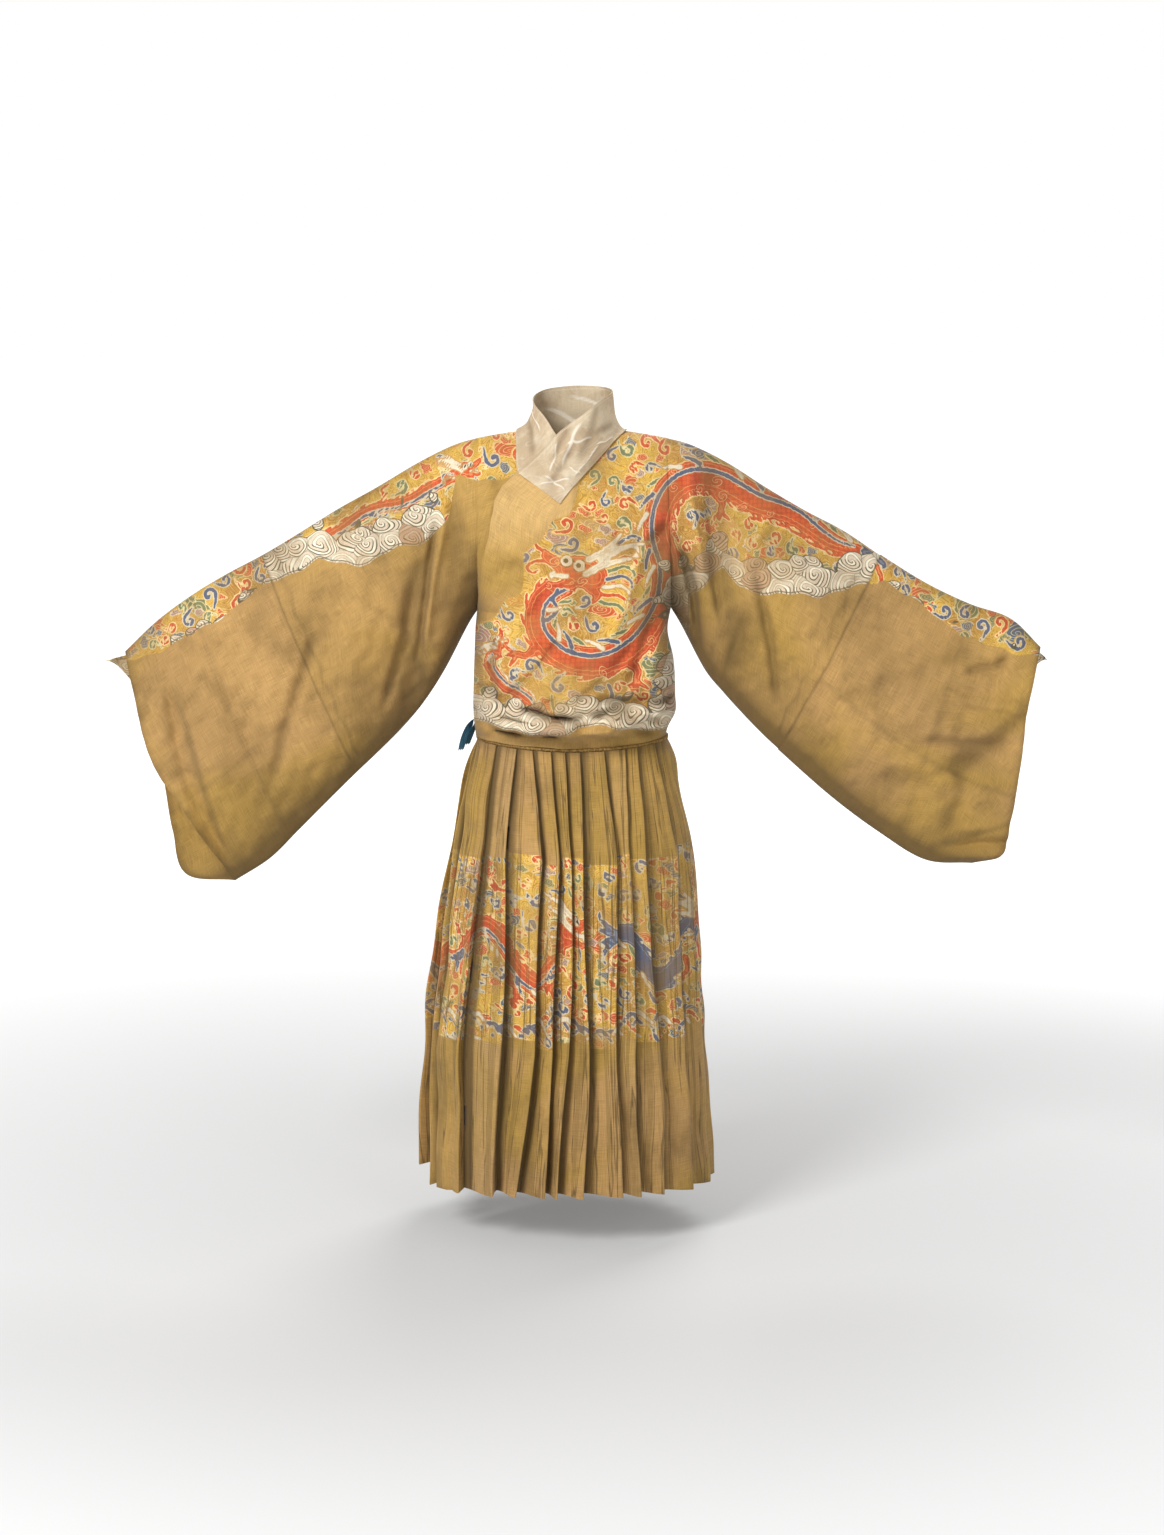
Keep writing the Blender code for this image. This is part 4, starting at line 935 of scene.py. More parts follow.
def cloth_material(name, olive=0.5, pink=0.5, foam_depth=62.0, cloud_share=0.5, pressed=0.0):
    """Ramie figured with the brocade, its weave in colour, roughness and bump, and with the sharp
    lines of pressed pleats where pressed is over 0, raised in the bump and darkened with painted shade."""
    material, shader = new_material(name, 0.82)
    warp, weft = attribute("warp"), attribute("weft")
    threads = use_group(weave_group, {"Warp": warp, "Weft": weft})
    aged = use_group(age_group, {
        "Slubs": threads["Slubs"], "Olive": olive, "Pink": pink, "Tone": attribute("tone")})
    woven = use_group(brocade_group, {
        "Ramie": aged["Colour"], "Gold edge": attribute("gold"), "Foam edge": attribute("foam"),
        "Grime": aged["Grime"], "Weft": attribute("design_x"), "Warp": attribute("design_z"),
        "Foam depth": foam_depth, "Cloud share": cloud_share,
        **{thread.capitalize(): attribute(thread) for thread in THREADS}})
    shaded = mix(1.0, woven["Colour"], map_range(threads["Slubs"], 0.3, 0.7, 0.76, 1.18), "MULTIPLY")
    streaks = noise(pair(times(weft, 75.0), times(warp, 2.2)), 1.0, 3.0, 0.55, 0.3, flat=True)
    final = coats(
        aged["Colour"],
        (below(attribute("gold"), 0.0, 1.2), shaded),
        # Painted shade along the fine pressed creases, which the bump also raises.
        (times(line_at(streaks, 0.45, 0.016, 0.022), pressed), tone(92, 70, 30)),
        (times(below(streaks, 0.4, 0.06), pressed * 0.5), tone(118, 92, 40)),
        # Painted shade in fold hollows, armpits, edges, creases and under the pleats, with dark seam lines
        # and darker random tones.
        (attribute("painted_shade_and_soil"), tone(82, 62, 26)))
    height = number("ADD", threads["Height"], times(woven["Raised"], 0.5))
    dress(shader, final, number("MULTIPLY_ADD", streaks, pressed * 4, height), 0.45, 0.0007)
    feed(shader["Roughness"], map_range(threads["Slubs"], 0.3, 0.7, 0.9, 0.72))
    shader["Sheen Weight"].default_value = 0.08
    return material


bodice_material = cloth_material("figured ramie")


def fold_painted_shade(face, x, z):
    """Painted shade down in the folds' hollows, darker the deeper the hollow."""
    hollow = np.clip(-surface_rise(face, x, z) / SHADED_HOLLOW_DEPTH, 0, 1)
    return 0.4 * hollow ** 1.3


def bodice_painted_shade(face, points):
    # Painted shade: darker in the fold hollows, round the armpits, just above the waist join and down the
    # sides below the arms.
    x, z = points[..., 0], points[..., 2]
    armpit = np.exp(-((np.abs(x) - 0.168) / 0.030) ** 2 - ((z + 0.262) / 0.085) ** 2)
    low = ease((-0.474 - z) / 0.012) * 0.22
    side = 0.35 * ease((np.abs(x) - 0.128) / 0.03) * ease((-0.24 - z) / 0.05)
    return np.clip(fold_painted_shade(face, x, z) + 0.5 * armpit + low + side, 0, 0.8)


def sleeve_painted_shade_and_seams(side, face, points, station, w):
    """Painted shade along the underarm and top edges, in the armpit, in the fold hollows, along old
    storage creases and at the mouth, with the dark seam line between the widths and a gentle wave of darker
    tone.
    """
    x, z = points[..., 0], points[..., 2]
    under = 0.7 * bell((1 - w) / 0.07) + 0.3 * bell((1 - w) / 0.2)
    top = 0.25 * bell(w / 0.03)
    armpit = 0.55 * bell(station / 1.3) * ease((w - 0.3) / 0.5)
    seam = 0.3 * bell((station - SEAM_STATION) / 0.03)
    seam = seam + 0.2 * bell((station - SEAM_STATION + 0.32 + 0.05 * np.sin(w * 40)) / 0.06)
    creases = 0.16 * bell((w - 0.55 - 0.01 * station) / 0.012) * (station > SEAM_STATION)
    creases = creases + 0.15 * bell((station - 8.05 - 0.2 * w) / 0.08)
    creases = creases + 0.12 * bell((station - 3.4 + 0.6 * w) / 0.12)
    mouth = 0.4 * bell((MOUTH_STATION - station) / 0.07)
    cloud = 0.10 * (1 + np.sin(x * 23 + z * 17 + side * 2))
    total = fold_painted_shade(face, x, z) + under + top + armpit + seam + creases + mouth + cloud
    return np.clip(total, 0, 0.8)


def design_values(points, face, side, torso, painted_shade_and_soil):
    """The attributes of a grid: cloth lengths, painted shade with dark seams and darker tones, gold ground
    and every thread colour.
    """
    x, z = points[..., 0] / MM, points[..., 2] / MM
    warp, weft = cloth_lengths(points)
    design = Design(x, z)
    draw_bodice(design, face)
    for scroll in SCROLLS[face]:
        design.scroll(*scroll)
    gold, foam = gold_ground(face, side, x, z, torso)
    values = {"warp": warp, "weft": weft, "gold": np.clip(gold, *GOLD_RANGE),
        "foam": np.clip(foam, *FOAM_RANGE),
              "design_x": x * MM, "design_z": z * MM, "painted_shade_and_soil": painted_shade_and_soil, "tone": 0 * x}
    values.update(design.threads)
    return values


NECKLINES = {
    (LEFT, FRONT): ((15, -66), (80, 0)),
    (RIGHT, FRONT): ((5, -140), (30, -112), (50, -80), (65, -36), (80, 0)),
    (LEFT, BACK): ((0, -36), (40, -26), (80, 0)),
    (RIGHT, BACK): ((0, -36), (40, -26), (80, 0)),
}
INNER_START = {(LEFT, FRONT): CENTRE_FRONT_SEAM_X + SEWN_GAP / 2, (RIGHT, FRONT): 5 * MM,
               (LEFT, BACK): SEWN_GAP / 2, (RIGHT, BACK): SEWN_GAP / 2}


def sleeve_cloth(mesh, side, face, stations, shares, torso):
    at, down = stations[None, :] + 0 * shares, shares + 0 * stations[None, :]
    points = sleeve(side, face, at, down)
    painted_shade_and_soil = sleeve_painted_shade_and_seams(side, face, points, at, down)
    cloth_grid(mesh, points, design_values(points, face, side, torso, painted_shade_and_soil))


def loom_width(name, side):
    neck_angle = math.asin(NECK_HOLE_X / ARMHOLE_TOP_X)
    outer = neck_angle + (math.pi / 2 - neck_angle) * np.linspace(0, 1, 39) ** 0.85
    stations = np.linspace(0, SEAM_STATION - STATION_GAP, int(6 * 58 * MM / STEP))
    shares = edge_shares(int(0.3 / STEP))[:, None]
    lower_shares = np.linspace(0, 1, int(0.215 / STEP))[:, None]
    mesh = bmesh.new()
    for face in (FRONT, BACK):
        inner_x = np.linspace(INNER_START[(side, face)], NECK_HOLE_X, 24)
        neckline = np.array(NECKLINES[(side, face)], dtype=float) * MM
        inner = np.arcsin(inner_x / ARMHOLE_TOP_X)
        inner_top = np.minimum(np.interp(inner_x, neckline[:, 0], neckline[:, 1]), ridge_z(inner))
        inner_top[-1] = ridge_z(neck_angle)
        angles = np.concatenate((inner, outer[1:]))[None, :]
        tops = np.concatenate((inner_top, ridge_z(outer[1:])))[None, :]
        low = join_z(face, angles) + JOIN_RADIUS + SEAM_GAP
        torso = "plain" if side == RIGHT and face == FRONT else "full"
        for points in (
            bodice(side, face, angles + 0 * shares, tops + (ARMPIT_Z - tops) * shares),
            bodice(side, face, angles + 0 * lower_shares, ARMPIT_Z + (low - ARMPIT_Z) * lower_shares),
        ):
            cloth_grid(mesh, points, design_values(points, face, side, torso, bodice_painted_shade(face, points)))
        sleeve_cloth(mesh, side, face, stations, shares, torso)
    return finish_cloth(name, mesh, bodice_material, CLOTH)


loom_width("left_width", LEFT)
loom_width("right_width", RIGHT)


# The sleeve extensions: plain ramie, sewn on at the slanting seam, with the gold band along the
# top. They widen into a bag and end in an open mouth.
def sleeve_extension(name, side):
    stations = np.linspace(SEAM_STATION + STATION_GAP, MOUTH_STATION, 84)
    shares = edge_shares(110)[:, None]
    mesh = bmesh.new()
    for face in (FRONT, BACK):
        sleeve_cloth(mesh, side, face, stations, shares, "plain")
    return finish_cloth(name, mesh, sleeve_material, CLOTH)


sleeve_material = cloth_material("figured ramie of the sleeves", 0.35, 0.7, 16.0, 0.7)
sleeve_extension("left_sleeve", LEFT)
sleeve_extension("right_sleeve", RIGHT)


# The outer overlap: a gore of the same brocade sewn on at the centre front, lying over the
# wearer's right front and closing at the side.
OVERLAP_LIFT = 4.4 * MM
OVERLAP_LIFT_AT_COLLAR = 5.8 * MM
WORN_CORNER = -1.6
LAPEL_EDGE = np.array((
    (-86, -66), (-110, -90), (-122, -110), (-131, -163), (-139, -202),
    (-146, -257), (-152, -318), (-155, -390), (-156.5, -450), (-154, -475), (-152, -500),
)) * MM
OVERLAP_TOP = np.array(((-86, -66), (-19, -104), (15, -67))) * MM


def signed_angle(x, z):
    z = np.minimum(z, ARMPIT_Z)
    reach = np.where(x > 0, half_width(LEFT, z), half_width(RIGHT, z))
    return np.arcsin(np.clip(x / reach, -1, 1))


def lapel_angle(z):
    return signed_angle(np.interp(z, LAPEL_EDGE[::-1, 1], LAPEL_EDGE[::-1, 0]), z)


def overlap_panel():
    u = np.linspace(0, 1, 66)[None, :]
    v = np.linspace(0, 1, 70)[:, None]
    corner_angles = signed_angle(OVERLAP_TOP[:, 0], OVERLAP_TOP[:, 1])
    seam_angle = math.asin((CENTRE_FRONT_SEAM_X - SEWN_GAP / 2) / ARMHOLE_TOP_X)
    corner_angles[-1] = seam_angle
    top_angle = np.interp(u, (0, 0.6, 1), corner_angles)
    top_z = np.interp(u, (0, 0.6, 1), OVERLAP_TOP[:, 1])
    low_angle = lapel_angle(np.array(ARMPIT_Z))
    lapel_z = OVERLAP_TOP[0, 1] * (1 - v) + ARMPIT_Z * v
    bow = lapel_angle(lapel_z) - (corner_angles[0] * (1 - v) + low_angle * v)
    angle = (1 - v) * top_angle + v * (low_angle + (seam_angle - low_angle) * u) + (1 - u) * bow
    z = (1 - v) * top_z + v * ARMPIT_Z + 0 * u
    share = np.linspace(0, 1, 60)[1:, None]
    low_z = ARMPIT_Z + 0 * share * u
    for _ in range(3):
        low_angles = lapel_angle(low_z) * (1 - u) + seam_angle * u
        end = join_z(FRONT, low_angles) + JOIN_RADIUS + SEAM_GAP
        low_z = ARMPIT_Z + (end - ARMPIT_Z) * share
    angle = np.concatenate((angle, low_angles))
    z = np.concatenate((z, low_z))
    angle = np.minimum(angle, seam_angle)
    on_left, turn = angle > 0, np.abs(angle)
    x = np.where(on_left, bodice(LEFT, FRONT, turn, z)[..., 0], bodice(RIGHT, FRONT, turn, z)[..., 0])
    near_collar = ease((z + 180 * MM) / (70 * MM))
    lift = OVERLAP_LIFT + (OVERLAP_LIFT_AT_COLLAR - OVERLAP_LIFT) * near_collar
    lift = lift * ease((CENTRE_FRONT_SEAM_X - x) / (18 * MM))
    points = np.where(on_left[..., None], bodice_lifted(LEFT, FRONT, turn, z, lift),
                      bodice_lifted(RIGHT, FRONT, turn, z, lift))
    mesh = bmesh.new()
    values = design_values(points, FRONT, RIGHT, "overlap", bodice_painted_shade(FRONT, points))
    values["tone"] = WORN_CORNER * ease((points[..., 2] + 0.27) / 0.17)
    cloth_grid(mesh, points, values)
    return finish_cloth("front_overlap", mesh, bodice_material, CLOTH, (0, 0, -0.3))


overlap_panel()


# The cuff flaps: the brocade corner at the top of each sleeve end. It is the end of the sleeve's
# own cloth, turned out of the mouth and folded back once.
CUFF_FLAP = {LEFT: (771, -371, 0.1), RIGHT: (756, -372, 0.17)}


def cuff_flap(name, side):
    tip_x, tip_z, reach = CUFF_FLAP[side]
    share = np.linspace(0, 1, 18)[:, None]
    out = np.linspace(0, 1, 14)[None, :]
    edge = sleeve(side, BACK, MOUTH_STATION + 0 * share, 0.02 + reach * share)
    edge[..., 0] += side * SEAM_GAP * 2
    pull = np.clip(1 - np.abs(share - 0.25) / 0.75, 0.06, 1)
    tip = np.array((side * tip_x * MM, 0, tip_z * MM)) + edge * (0, 1, 0) + np.array((0, 4 * MM, 0))
    curl = np.sin(out * math.pi) * 3 * MM
    points = edge + (tip - edge) * (pull * out)[..., None]
    points[..., 1] += curl * pull
    mesh = bmesh.new()
    values = design_values(points, BACK, side, "plain", 0.15 + 0 * points[..., 0])
    values["gold"] = values["foam"] = np.full(points.shape[:2], -40.0)
    cloth_grid(mesh, points, values)
    return finish_cloth(name, mesh, bodice_material, CLOTH, (0, -1, -0.3))


cuff_flap("left_cuff_flap", LEFT)
cuff_flap("right_cuff_flap", RIGHT)


# The guard collar: a wide doubled band of pale cloth sewn round the neck, folded up to stand and
# crossing left over right, with basted lines and soft creases.
COLLAR = (
    (-70, -82, 2.6, FRONT, -36, -74, -56, -6, -66, -24),
    (-86, -65, 2.6, FRONT, -54, -70, -34.5, -24.5, -66, -6),
    (-88, -30, 4.5, FRONT, -62, -42, -4, -44, -52, 22),
    (-88, 1, 4.0, FRONT, -68.5, 0, 17, -63.5, -12, 45),
    (-62, -22, 3.5, BACK, -53, 44, 8, -49, 43, 60),
    (0, -44, 3.2, BACK, 0, 60, -8, 0, 61, 67),
    (62, -22, 3.5, BACK, 53, 44, 8, 49, 43, 66),
    (87.5, 0, 4.0, FRONT, 73, 0, 13, 65.5, -5, 60),
    (70, -17, 4.0, FRONT, 58, -42, 2, 46, -46, 47),
    (46, -42, 2.8, FRONT, 33, -68, -14, 18, -64, 26),
    (13, -77, 4.6, FRONT, -1, -84, -42, -20, -75, -1),
    (-4, -97, 8.2, FRONT, -23, -86, -64, -44, -80, -29),
    (-19, -115, 8.4, FRONT, -52, -91, -89, -85, -79, -66),
)
COLLAR_CLOTH = 1.6 * MM
# Creases. Columns: section, share across, section, share across, half width, rise in mm.
COLLAR_CREASES = (
    (8.2, 0.95, 9.6, 0.35, 0.09, -3.0), (9.2, 0.9, 10.6, 0.5, 0.07, 2.6),
    (9.8, 0.62, 11.6, 0.42, 0.08, -2.4),
    (10.6, 0.2, 11.9, 0.55, 0.04, 1.8), (11.2, 0.1, 11.5, 0.6, 0.04, 1.8), (7.6, 0.5, 8.8, 0.6, 0.1, -2.6),
    (8.9, 0.3, 10.2, 0.16, 0.04, 1.6), (9.9, 0.1, 10.3, 0.4, 0.03, 1.4), (9.0, 0.55, 9.9, 0.75, 0.05, 1.8),
    (9.6, 0.95, 10.8, 0.75, 0.06, -2.0), (10.3, 0.9, 11.2, 0.62, 0.05, 2.0),
    (8.0, 0.2, 8.9, 0.35, 0.05, 1.4),
    (1.2, 0.4, 2.8, 0.45, 0.08, -2.2), (1.8, 0.7, 3.0, 0.75, 0.05, 1.6), (4.2, 0.75, 6.2, 0.55, 0.08, 2.0),
    (4.6, 0.3, 6.4, 0.4, 0.08, -1.8), (5.0, 0.9, 6.8, 0.7, 0.05, 1.4),
)


def collar():
    sections = []
    for index, (sewn_x, sewn_z, lift, face, *rest) in enumerate(COLLAR):
        side = LEFT if sewn_x > 0 else RIGHT
        angle = math.asin(min(abs(sewn_x) * MM / ARMHOLE_TOP_X, 1))
        ridge = float(ridge_z(angle))
        if sewn_z * MM > ridge - 4 * MM:
            sewn = np.array((sewn_x * MM, 0, ridge + lift * MM))
        else:
            sewn = bodice_lifted(side, face, np.array(angle), np.array(sewn_z * MM), lift * MM)
        sections.append((index, *sewn, *(np.array(rest) * MM)))
    curve = smooth_curve(sections)
    at = np.linspace(0, len(sections) - 1, 200)[None, :]
    share = np.linspace(0, 1, 44)[:, None]
    columns = read_curve(curve, at)
    sewn, fold, rim = [np.stack(columns[i:i + 3], axis=-1) for i in (0, 3, 6)]
    control = 2 * fold - (sewn + rim) / 2
    t = share[..., None]
    points = (1 - t) ** 2 * sewn + 2 * t * (1 - t) * control + t**2 * rim
    across = np.gradient(points, axis=0)
    along = np.gradient(points, axis=1)
    normal = np.cross(along, across)
    normal /= np.linalg.norm(normal, axis=-1, keepdims=True)
    outward = np.sign(np.sum(normal * (points - np.array((0, 0, -0.02))), axis=-1))
    rise = ripple(at * 0.03 + 0 * share, share * 0.09 + 0 * at, 14, 40 * MM, 0.7 * MM)
    wear, shade = 0 * rise, 0 * rise
    for a0, s0, a1, s1, half, height in COLLAR_CREASES:
        way = np.array((a1 - a0, (s1 - s0) * 3))
        gone_a, gone_s = at - a0, (share - s0) * 3
        part = (gone_a * way[0] + gone_s * way[1]) / (way @ way)
        off = (gone_a * way[1] - gone_s * way[0]) / np.linalg.norm(way) / (half * 3)
        ends = ease((part + 0.15) / 0.3) * ease((1.15 - part) / 0.3)
        rise = rise + height * MM * bell(off) * ends
        wear = np.maximum(wear, bell((off + 0.3 * np.sin(part * 9)) / 0.35) * ends * (height > 0))
        # Painted shade along the valley creases.
        shade = np.maximum(shade, bell(off) * ends * (height < 0))
    rise = rise * ease(share / 0.12)
    points = points + normal * (rise * outward)[..., None]
    warp, weft = cloth_lengths(points)
    edge = np.minimum(share + 0 * at, 1 - share + 0 * at) * 90
    mesh = bmesh.new()
    cloth_grid(mesh, points, {"warp": warp, "weft": weft, "edge": edge, "wear": wear, "painted_shade_and_soil": shade})
    return finish_cloth("collar", mesh, collar_material, COLLAR_CLOTH, (0, 0, -0.02))


collar_material, collar_shader = new_material("pale guard cloth", 0.85)
collar_threads = use_group(weave_group, {"Warp": attribute("warp"), "Weft": attribute("weft")})
collar_place = node("ShaderNodeTexCoord").outputs["Object"]
worn_patch = below(times(attribute("wear"), -1.0), -0.45, 0.35)
collar_colour = coats(
    tone(208, 190, 160),
    (below(noise(collar_place, 22.0, 4.0, 0.6), 0.5, 0.12), tone(188, 165, 134)),
    (times(line_at(noise(collar_place, 12.0, 1.0, distortion=1.5), 0.52, 0.010, 0.008), 0.35),
    tone(216, 202, 180)),
    (times(worn_patch, 0.85), tone(234, 224, 206)),
    # Painted shade in the collar's valley creases.
    (times(attribute("painted_shade_and_soil"), 0.5), tone(120, 98, 72)),
    (times(line_at(attribute("edge"), 2.6, 0.35, 0.3), 0.55), tone(224, 210, 184)))
collar_shade = map_range(collar_threads["Slubs"], 0.32, 0.68, 0.84, 1.12)
dress(collar_shader, mix(1.0, collar_colour, collar_shade, "MULTIPLY"), collar_threads["Height"], 0.4,
    0.0006)
collar()


# The skirt: two panels of ramie with a woven knee band, laid in knife pleats under the waist join
# and open in a slit at the wearer's right side.
SKIRT = smooth_curve((
    (-500, 153, 153, 103, 3.0, 0.5), (-524, 162, 163, 112, 6.0, 1.5), (-612, 183, 178, 133, 10, 3),
    (-672, 194, 190, 146, 12, 4), (-778, 212, 199, 159, 14, 4), (-943, 232, 209, 172, 17, 4),
    (-1042, 240, 215, 178, 19, 4), (-1250, 246, 226, 186, 22, 4),
))
PLEAT_LEVELS = (-500, -680, -990, -1235)
FRONT_PLEATS = (
    (-152, -180, -214, -216), (-121, -147, -176, -181), (-88, -106, -112, -123), (-64, -45, -62, -90),
    (-34, -23, -28, -48), (-12, -1, -6, -22), (12, 19, 24, 17), (50, 67, 72, 76), (84, 91, 98, 110),
    (103, 116, 136, 146), (131, 163, 178, 188), (152, 188, 206, 218),
)
BACK_PLEAT_COUNT = 14
BACK_PLEAT_SWAY = math.radians(0.8)
FRONT_PLEAT_SWAY = math.radians(0.9)
PLEAT_SWELL = 2.2 * MM
HEM_Z = -1235 * MM
BAND_TOP, BAND_BOTTOM = -677, -974
SKIRT_CLOTH = 1.1 * MM
# One pleat from its tucked start to its folded edge and back under. Columns: share of the pleat,
# rise and overhang, as shares of the pleat's depth and overhang.
PLEAT_PROFILE = (
    (0.0, -0.5, -1.0), (0.1, -0.44, -0.3), (0.2, -0.36, 0), (0.35, -0.22, 0), (0.5, -0.03, 0),
    (0.65, 0.17, 0), (0.8, 0.33, 0), (0.92, 0.45, 0), (0.98, 0.5, 0), (1.0, 0.47, 0.25), (1.0, 0.3, 0.1),
    (1.0, 0.0, -0.35), (1.0, -0.3, -0.75),
)


def pleat_edge(pleats, z):
    x = np.interp(-z / MM, [-level for level in PLEAT_LEVELS], pleats) * MM
    right, left, *_ = [column * MM for column in read_curve(SKIRT, z / MM)]
    return np.arcsin(np.clip(x / np.where(x > 0, left, right), -0.985, 0.985))


def front_edge(index, z):
    sway = 0 if index in (0, len(FRONT_PLEATS) - 1) else FRONT_PLEAT_SWAY
    return pleat_edge(FRONT_PLEATS[index],
        z) + sway * np.sin(2.1 * index + z / (95 * MM)) * ease((-0.53 - z) / 0.15)


def back_edge(index, z):
    start = pleat_edge(FRONT_PLEATS[-1], z)
    end = pleat_edge(FRONT_PLEATS[0], z) + 2 * math.pi - math.radians(5)
    share = index / BACK_PLEAT_COUNT
    sway = BACK_PLEAT_SWAY * np.sin(2.4 * index + z / (180 * MM)) * math.sin(math.pi * share)
    return start + (end - start) * share + sway


def hem_z(angle):
    from_side = (angle + math.pi / 2 + 0.02 + math.pi) % (2 * math.pi) - math.pi
    return HEM_Z + 14 * MM * np.maximum(0, np.cos(angle)) ** 2 + 40 * MM * bell(from_side / 0.2)


def draw_skirt(design, far, seed):
    """Running flying fishes and rolling waves round the knee band, clouds between them."""
    draw = random.Random(seed)
    along = 40.0
    middle = (BAND_TOP + BAND_BOTTOM) / 2
    turn = 0
    while along < far:
        colour = ("red", "blue", "red")[turn % 3]
        lift = draw.uniform(-16, 16)
        body = [(along + step * 46, middle + lift + 46 * math.sin(step * 1.25 + turn),
            9 + 8 * math.sin(0.5 * step + 0.5))
                for step in range(7)]
        design.flying_fish(body, draw.uniform(-20, 20), 0.95, colour)
        design.claw(along + 120, middle + lift - 40, -60, 0.8)
        design.claw(along + 230, middle + lift - 20, -110, 0.8)
        along += 410
        turn += 1
    for step in range(int(far / 18)):
        x = step * 18 + draw.uniform(-4, 4)
        level = BAND_BOTTOM + 34 + 12 * math.sin(x / 37)
        design.stroke(("blue", "cream", "red", "blue")[step % 4], (
            (x - 20, level - 16, 2.0), (x, level + draw.uniform(-3, 7), 3.4), (x + 22, level - 18, 2.0)))


def pleated_panel(name, edge, count, first, last, seed):
    shares = np.concatenate((np.linspace(0, 0.08, 14)[:-1], np.linspace(0.08, 1, 142)))[:, None]
    columns = []
    for k in range(count):
        for part, rise, over in PLEAT_PROFILE:
            if k == 0 and part == 0:
                rise, over = first
            if k == 0 and first[0] > 0 and part < 0.6:
                rise = first[0]
                over = 0
            if k == count - 1 and part == 1.0:
                continue
            columns.append((k, part, rise, over))
    columns.append((count - 1, 1.0, last, 0))
    grid = []
    for k, part, rise, over in columns:
        start_angle = edge(k, np.array(JOIN_SIDE_Z)) * (1 - part) + edge(k + 1,
            np.array(JOIN_SIDE_Z)) * part
        face = FRONT if math.cos(start_angle) > 0 else BACK
        top = float(join_z(face, start_angle)) - JOIN_RADIUS - 2 * SEAM_GAP
        z = top + 0 * shares[:, 0]
        for _ in range(2):
            angle = edge(k, z) * (1 - part) + edge(k + 1, z) * part
            z = top + (hem_z(angle) - top) * shares[:, 0]
        right, left, reach, depth, overhang = [column * MM for column in read_curve(SKIRT, z / MM)]
        across = np.where(np.sin(angle) > 0, left, right)
        out = np.stack((reach * np.sin(angle), -across * np.cos(angle)), axis=-1)
        out /= np.linalg.norm(out, axis=-1, keepdims=True)
        base = np.stack((across * np.sin(angle), -reach * np.cos(angle)), axis=-1)
        sway = ripple(z * 0.5, 0 * z + k * 0.21, seed + k, 120 * MM, 0.12) * ease(shares[:, 0] / 0.15)
        swell = ripple(z, 0 * z + k * 0.13, seed + 40 + k, 130 * MM, PLEAT_SWELL) * ease(shares[:, 0] / 0.1)
        height = rise * depth * (1 + sway) + swell
        place = base + out * height[:, None] + np.stack((-out[:, 1], out[:, 0]),
            axis=-1) * (over * overhang)[:, None]
        low = z - 4 * MM * shares[:, 0] ** 4 * rise
        grid.append(np.concatenate((place, low[:, None]), axis=-1))
    points = np.stack(grid, axis=1)
    warp, weft = cloth_lengths(points)
    weft = weft.mean(axis=0)[None, :] + 0 * weft
    design = Design(weft / MM, points[..., 2] / MM)
    far = float(design.x.max())
    draw_skirt(design, far, seed)
    for scroll in scrolls_between(lambda rough: draw_skirt(rough, far, seed), (0, far),
            (BAND_BOTTOM, BAND_TOP), seed):
        design.scroll(*scroll)
    pleat_number = np.array([column[0] for column in columns])[None, :]
    shift = 9 * np.sin(pleat_number * 2.3 + seed)
    z = points[..., 2] / MM
    gold = np.maximum(z - BAND_TOP + shift, BAND_BOTTOM - shift - z) + 0 * weft
    rises = np.array([column[2] for column in columns])[None, :]
    draw = random.Random(seed + 1)
    pleat_tones = np.array([draw.uniform(-1, 1) for _ in range(count)])[pleat_number]
    # Painted shadow in the tucked valleys under each pleat's overhang and painted shade just under the
    # waist join; darker along the hem and a darker random tone on some pleats.
    painted_shade_and_soil = 0.85 * ease((-0.2 - rises) / 0.24) + 0.2 * np.clip(-pleat_tones, 0, 1)
    painted_shade_and_soil = painted_shade_and_soil + 0.25 * ease((-1225 - z) / 8) + 0.35 * ease((z + 522) / 16) + 0 * weft
    values = {"warp": warp, "weft": weft, "gold": np.clip(gold, *GOLD_RANGE),
        "foam": FOAM_RANGE[0] + 0 * weft,
              "design_x": weft, "design_z": points[..., 2], "painted_shade_and_soil": np.clip(painted_shade_and_soil, 0, 0.85),
              "tone": pleat_tones + 0 * weft}
    values.update(design.threads)
    mesh = bmesh.new()
    cloth_grid(mesh, points, values)
    return finish_cloth(name, mesh, skirt_material, SKIRT_CLOTH, (0, 0, HEM_Z * 0.7))


skirt_material = cloth_material("figured ramie of the skirt", 0.6, 0.75, 0.0, 0.68, 0.9)
skirt_front = pleated_panel("skirt_front", front_edge, len(FRONT_PLEATS) - 1, (0.3, 0), 0.4, 51)
skirt_back = pleated_panel("skirt_back", back_edge, BACK_PLEAT_COUNT, (-0.6, -2.4), -0.6, 77)


# The waist join: the seam between bodice and skirt, a hard ridge bound with slanting overcast
# stitches of the same ramie thread. It opens at the wearer's right side.
JOIN_HALF_WIDTH = 154 * MM
JOIN_HALF_DEPTH = 104 * MM
JOIN_OPENING = math.radians(4)
STITCH_COUNT = 210
STITCH_RADIUS = 0.0008
STITCH_HALF_LENGTH = 0.0035


def join_place(angle):
    face = FRONT if math.cos(angle) > 0 else BACK
    return Vector((JOIN_HALF_WIDTH * math.sin(angle), -JOIN_HALF_DEPTH * math.cos(angle),
                   float(join_z(face, angle))))


thread_material, thread_shader = new_material("ramie thread", 0.8)
thread_noise = noise(node("ShaderNodeTexCoord").outputs["Object"], 260.0, 3.0)
thread_colour = mix(below(thread_noise, 0.5, 0.15), tone(160, 126, 66), tone(118, 88, 38))
dress(thread_shader, thread_colour, thread_noise, 0.5, 0.0004)
join_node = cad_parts["waist_join"]
join_node.data.materials.clear()
join_node.data.materials.append(thread_material)

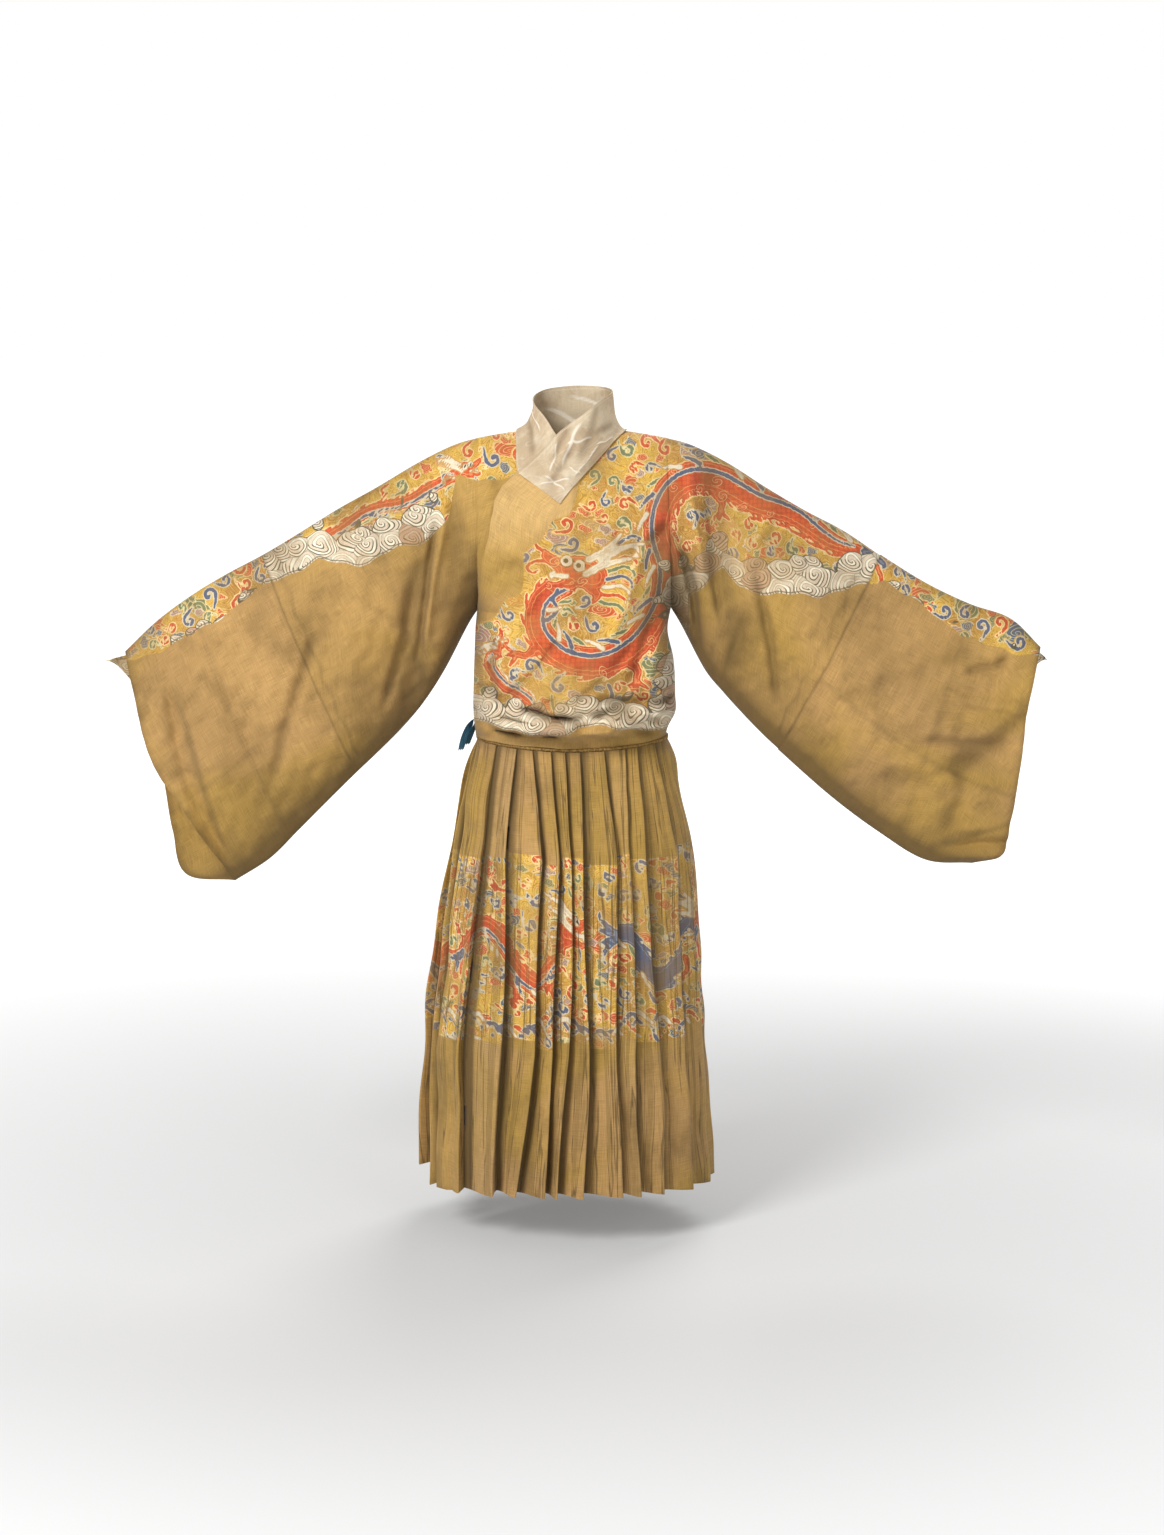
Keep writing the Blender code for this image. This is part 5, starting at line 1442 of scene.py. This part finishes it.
stitches = bmesh.new()
for i in range(STITCH_COUNT):
    angle = -math.pi / 2 + JOIN_OPENING + (2 * math.pi - 2 * JOIN_OPENING) * i / (STITCH_COUNT - 1)
    centre = join_place(angle)
    along = (join_place(angle + 0.01) - join_place(angle - 0.01)).normalized()
    out = Vector((centre.x, centre.y * 1.6, 0)).normalized()
    made = bmesh.ops.create_uvsphere(stitches, u_segments=6, v_segments=5, radius=1.0)["verts"]
    bmesh.ops.scale(stitches, verts=made, vec=(STITCH_RADIUS, STITCH_RADIUS, STITCH_HALF_LENGTH))
    lean = (Vector((0, 0, 1)) + along * 0.55).normalized()
    turn = lean.to_track_quat("Z", "Y").to_matrix().to_4x4()
    bmesh.ops.transform(stitches, matrix=turn, verts=made)
    bmesh.ops.translate(stitches, verts=made, vec=centre + out * (JOIN_RADIUS - 0.1 * MM))
waist_stitches = new_piece("waist_stitches", stitches, thread_material)
waist_stitches.data.shade_smooth()
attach(waist_stitches, "root")


# The side tie: a dark blue silk ribbon sewn in at the wearer's right side of the waist. It is
# folded over at the seam, and its two frayed tails hang.
TIE_CLOTH = 0.8 * MM
SIDE_TIE = (
    (0, -182, -5, -521, 5), (1, -176, -3, -500, 6), (2, -168, -1, -482, 6), (3, -162.5, 0, -472, 4),
    (4, -156.8, 0, -470.5, 4), (5, -157, 1, -478, 5), (6, -165, 3, -496, 5), (7, -172, 4, -513, 5),
)
tie_at = np.linspace(0, 7, 80)[:, None]
tie_side = np.linspace(-1, 1, 15)[None, :]
tie_x, tie_y, tie_z, tie_half = [column * MM for column in read_curve(smooth_curve(SIDE_TIE), tie_at)]
tie_turn = ease(np.minimum(np.abs(tie_at - 4) / 2.4, 1)) * math.radians(62)
tie_drift = 3.5 * MM * np.sin(tie_at * 1.3) * np.sin(tie_turn)
tie_points = np.stack((
    tie_x + tie_side * tie_half * np.sin(tie_turn),
    tie_y + tie_side * tie_half * np.cos(tie_turn) + tie_drift,
    tie_z + 1.5 * MM * np.sin(tie_side * 9 + tie_at) * (np.abs(tie_at - 3.5) > 3.3)), axis=-1)
tie_warp, tie_weft = cloth_lengths(tie_points)
tie_material, tie_shader = new_material("blue silk ribbon", 0.45)
tie_threads = noise(pair(times(attribute("weft"), 1400.0), times(attribute("warp"), 60.0)), 1.0, 2.0)
dress(tie_shader, mix(below(tie_threads, 0.5, 0.2), tone(52, 104, 128), tone(22, 56, 78)), tie_threads,
    0.4, 0.0004)
tie_mesh = bmesh.new()
cloth_grid(tie_mesh, tie_points, {"warp": tie_warp, "weft": tie_weft})
side_tie = finish_cloth("side_tie", tie_mesh, tie_material, TIE_CLOTH)
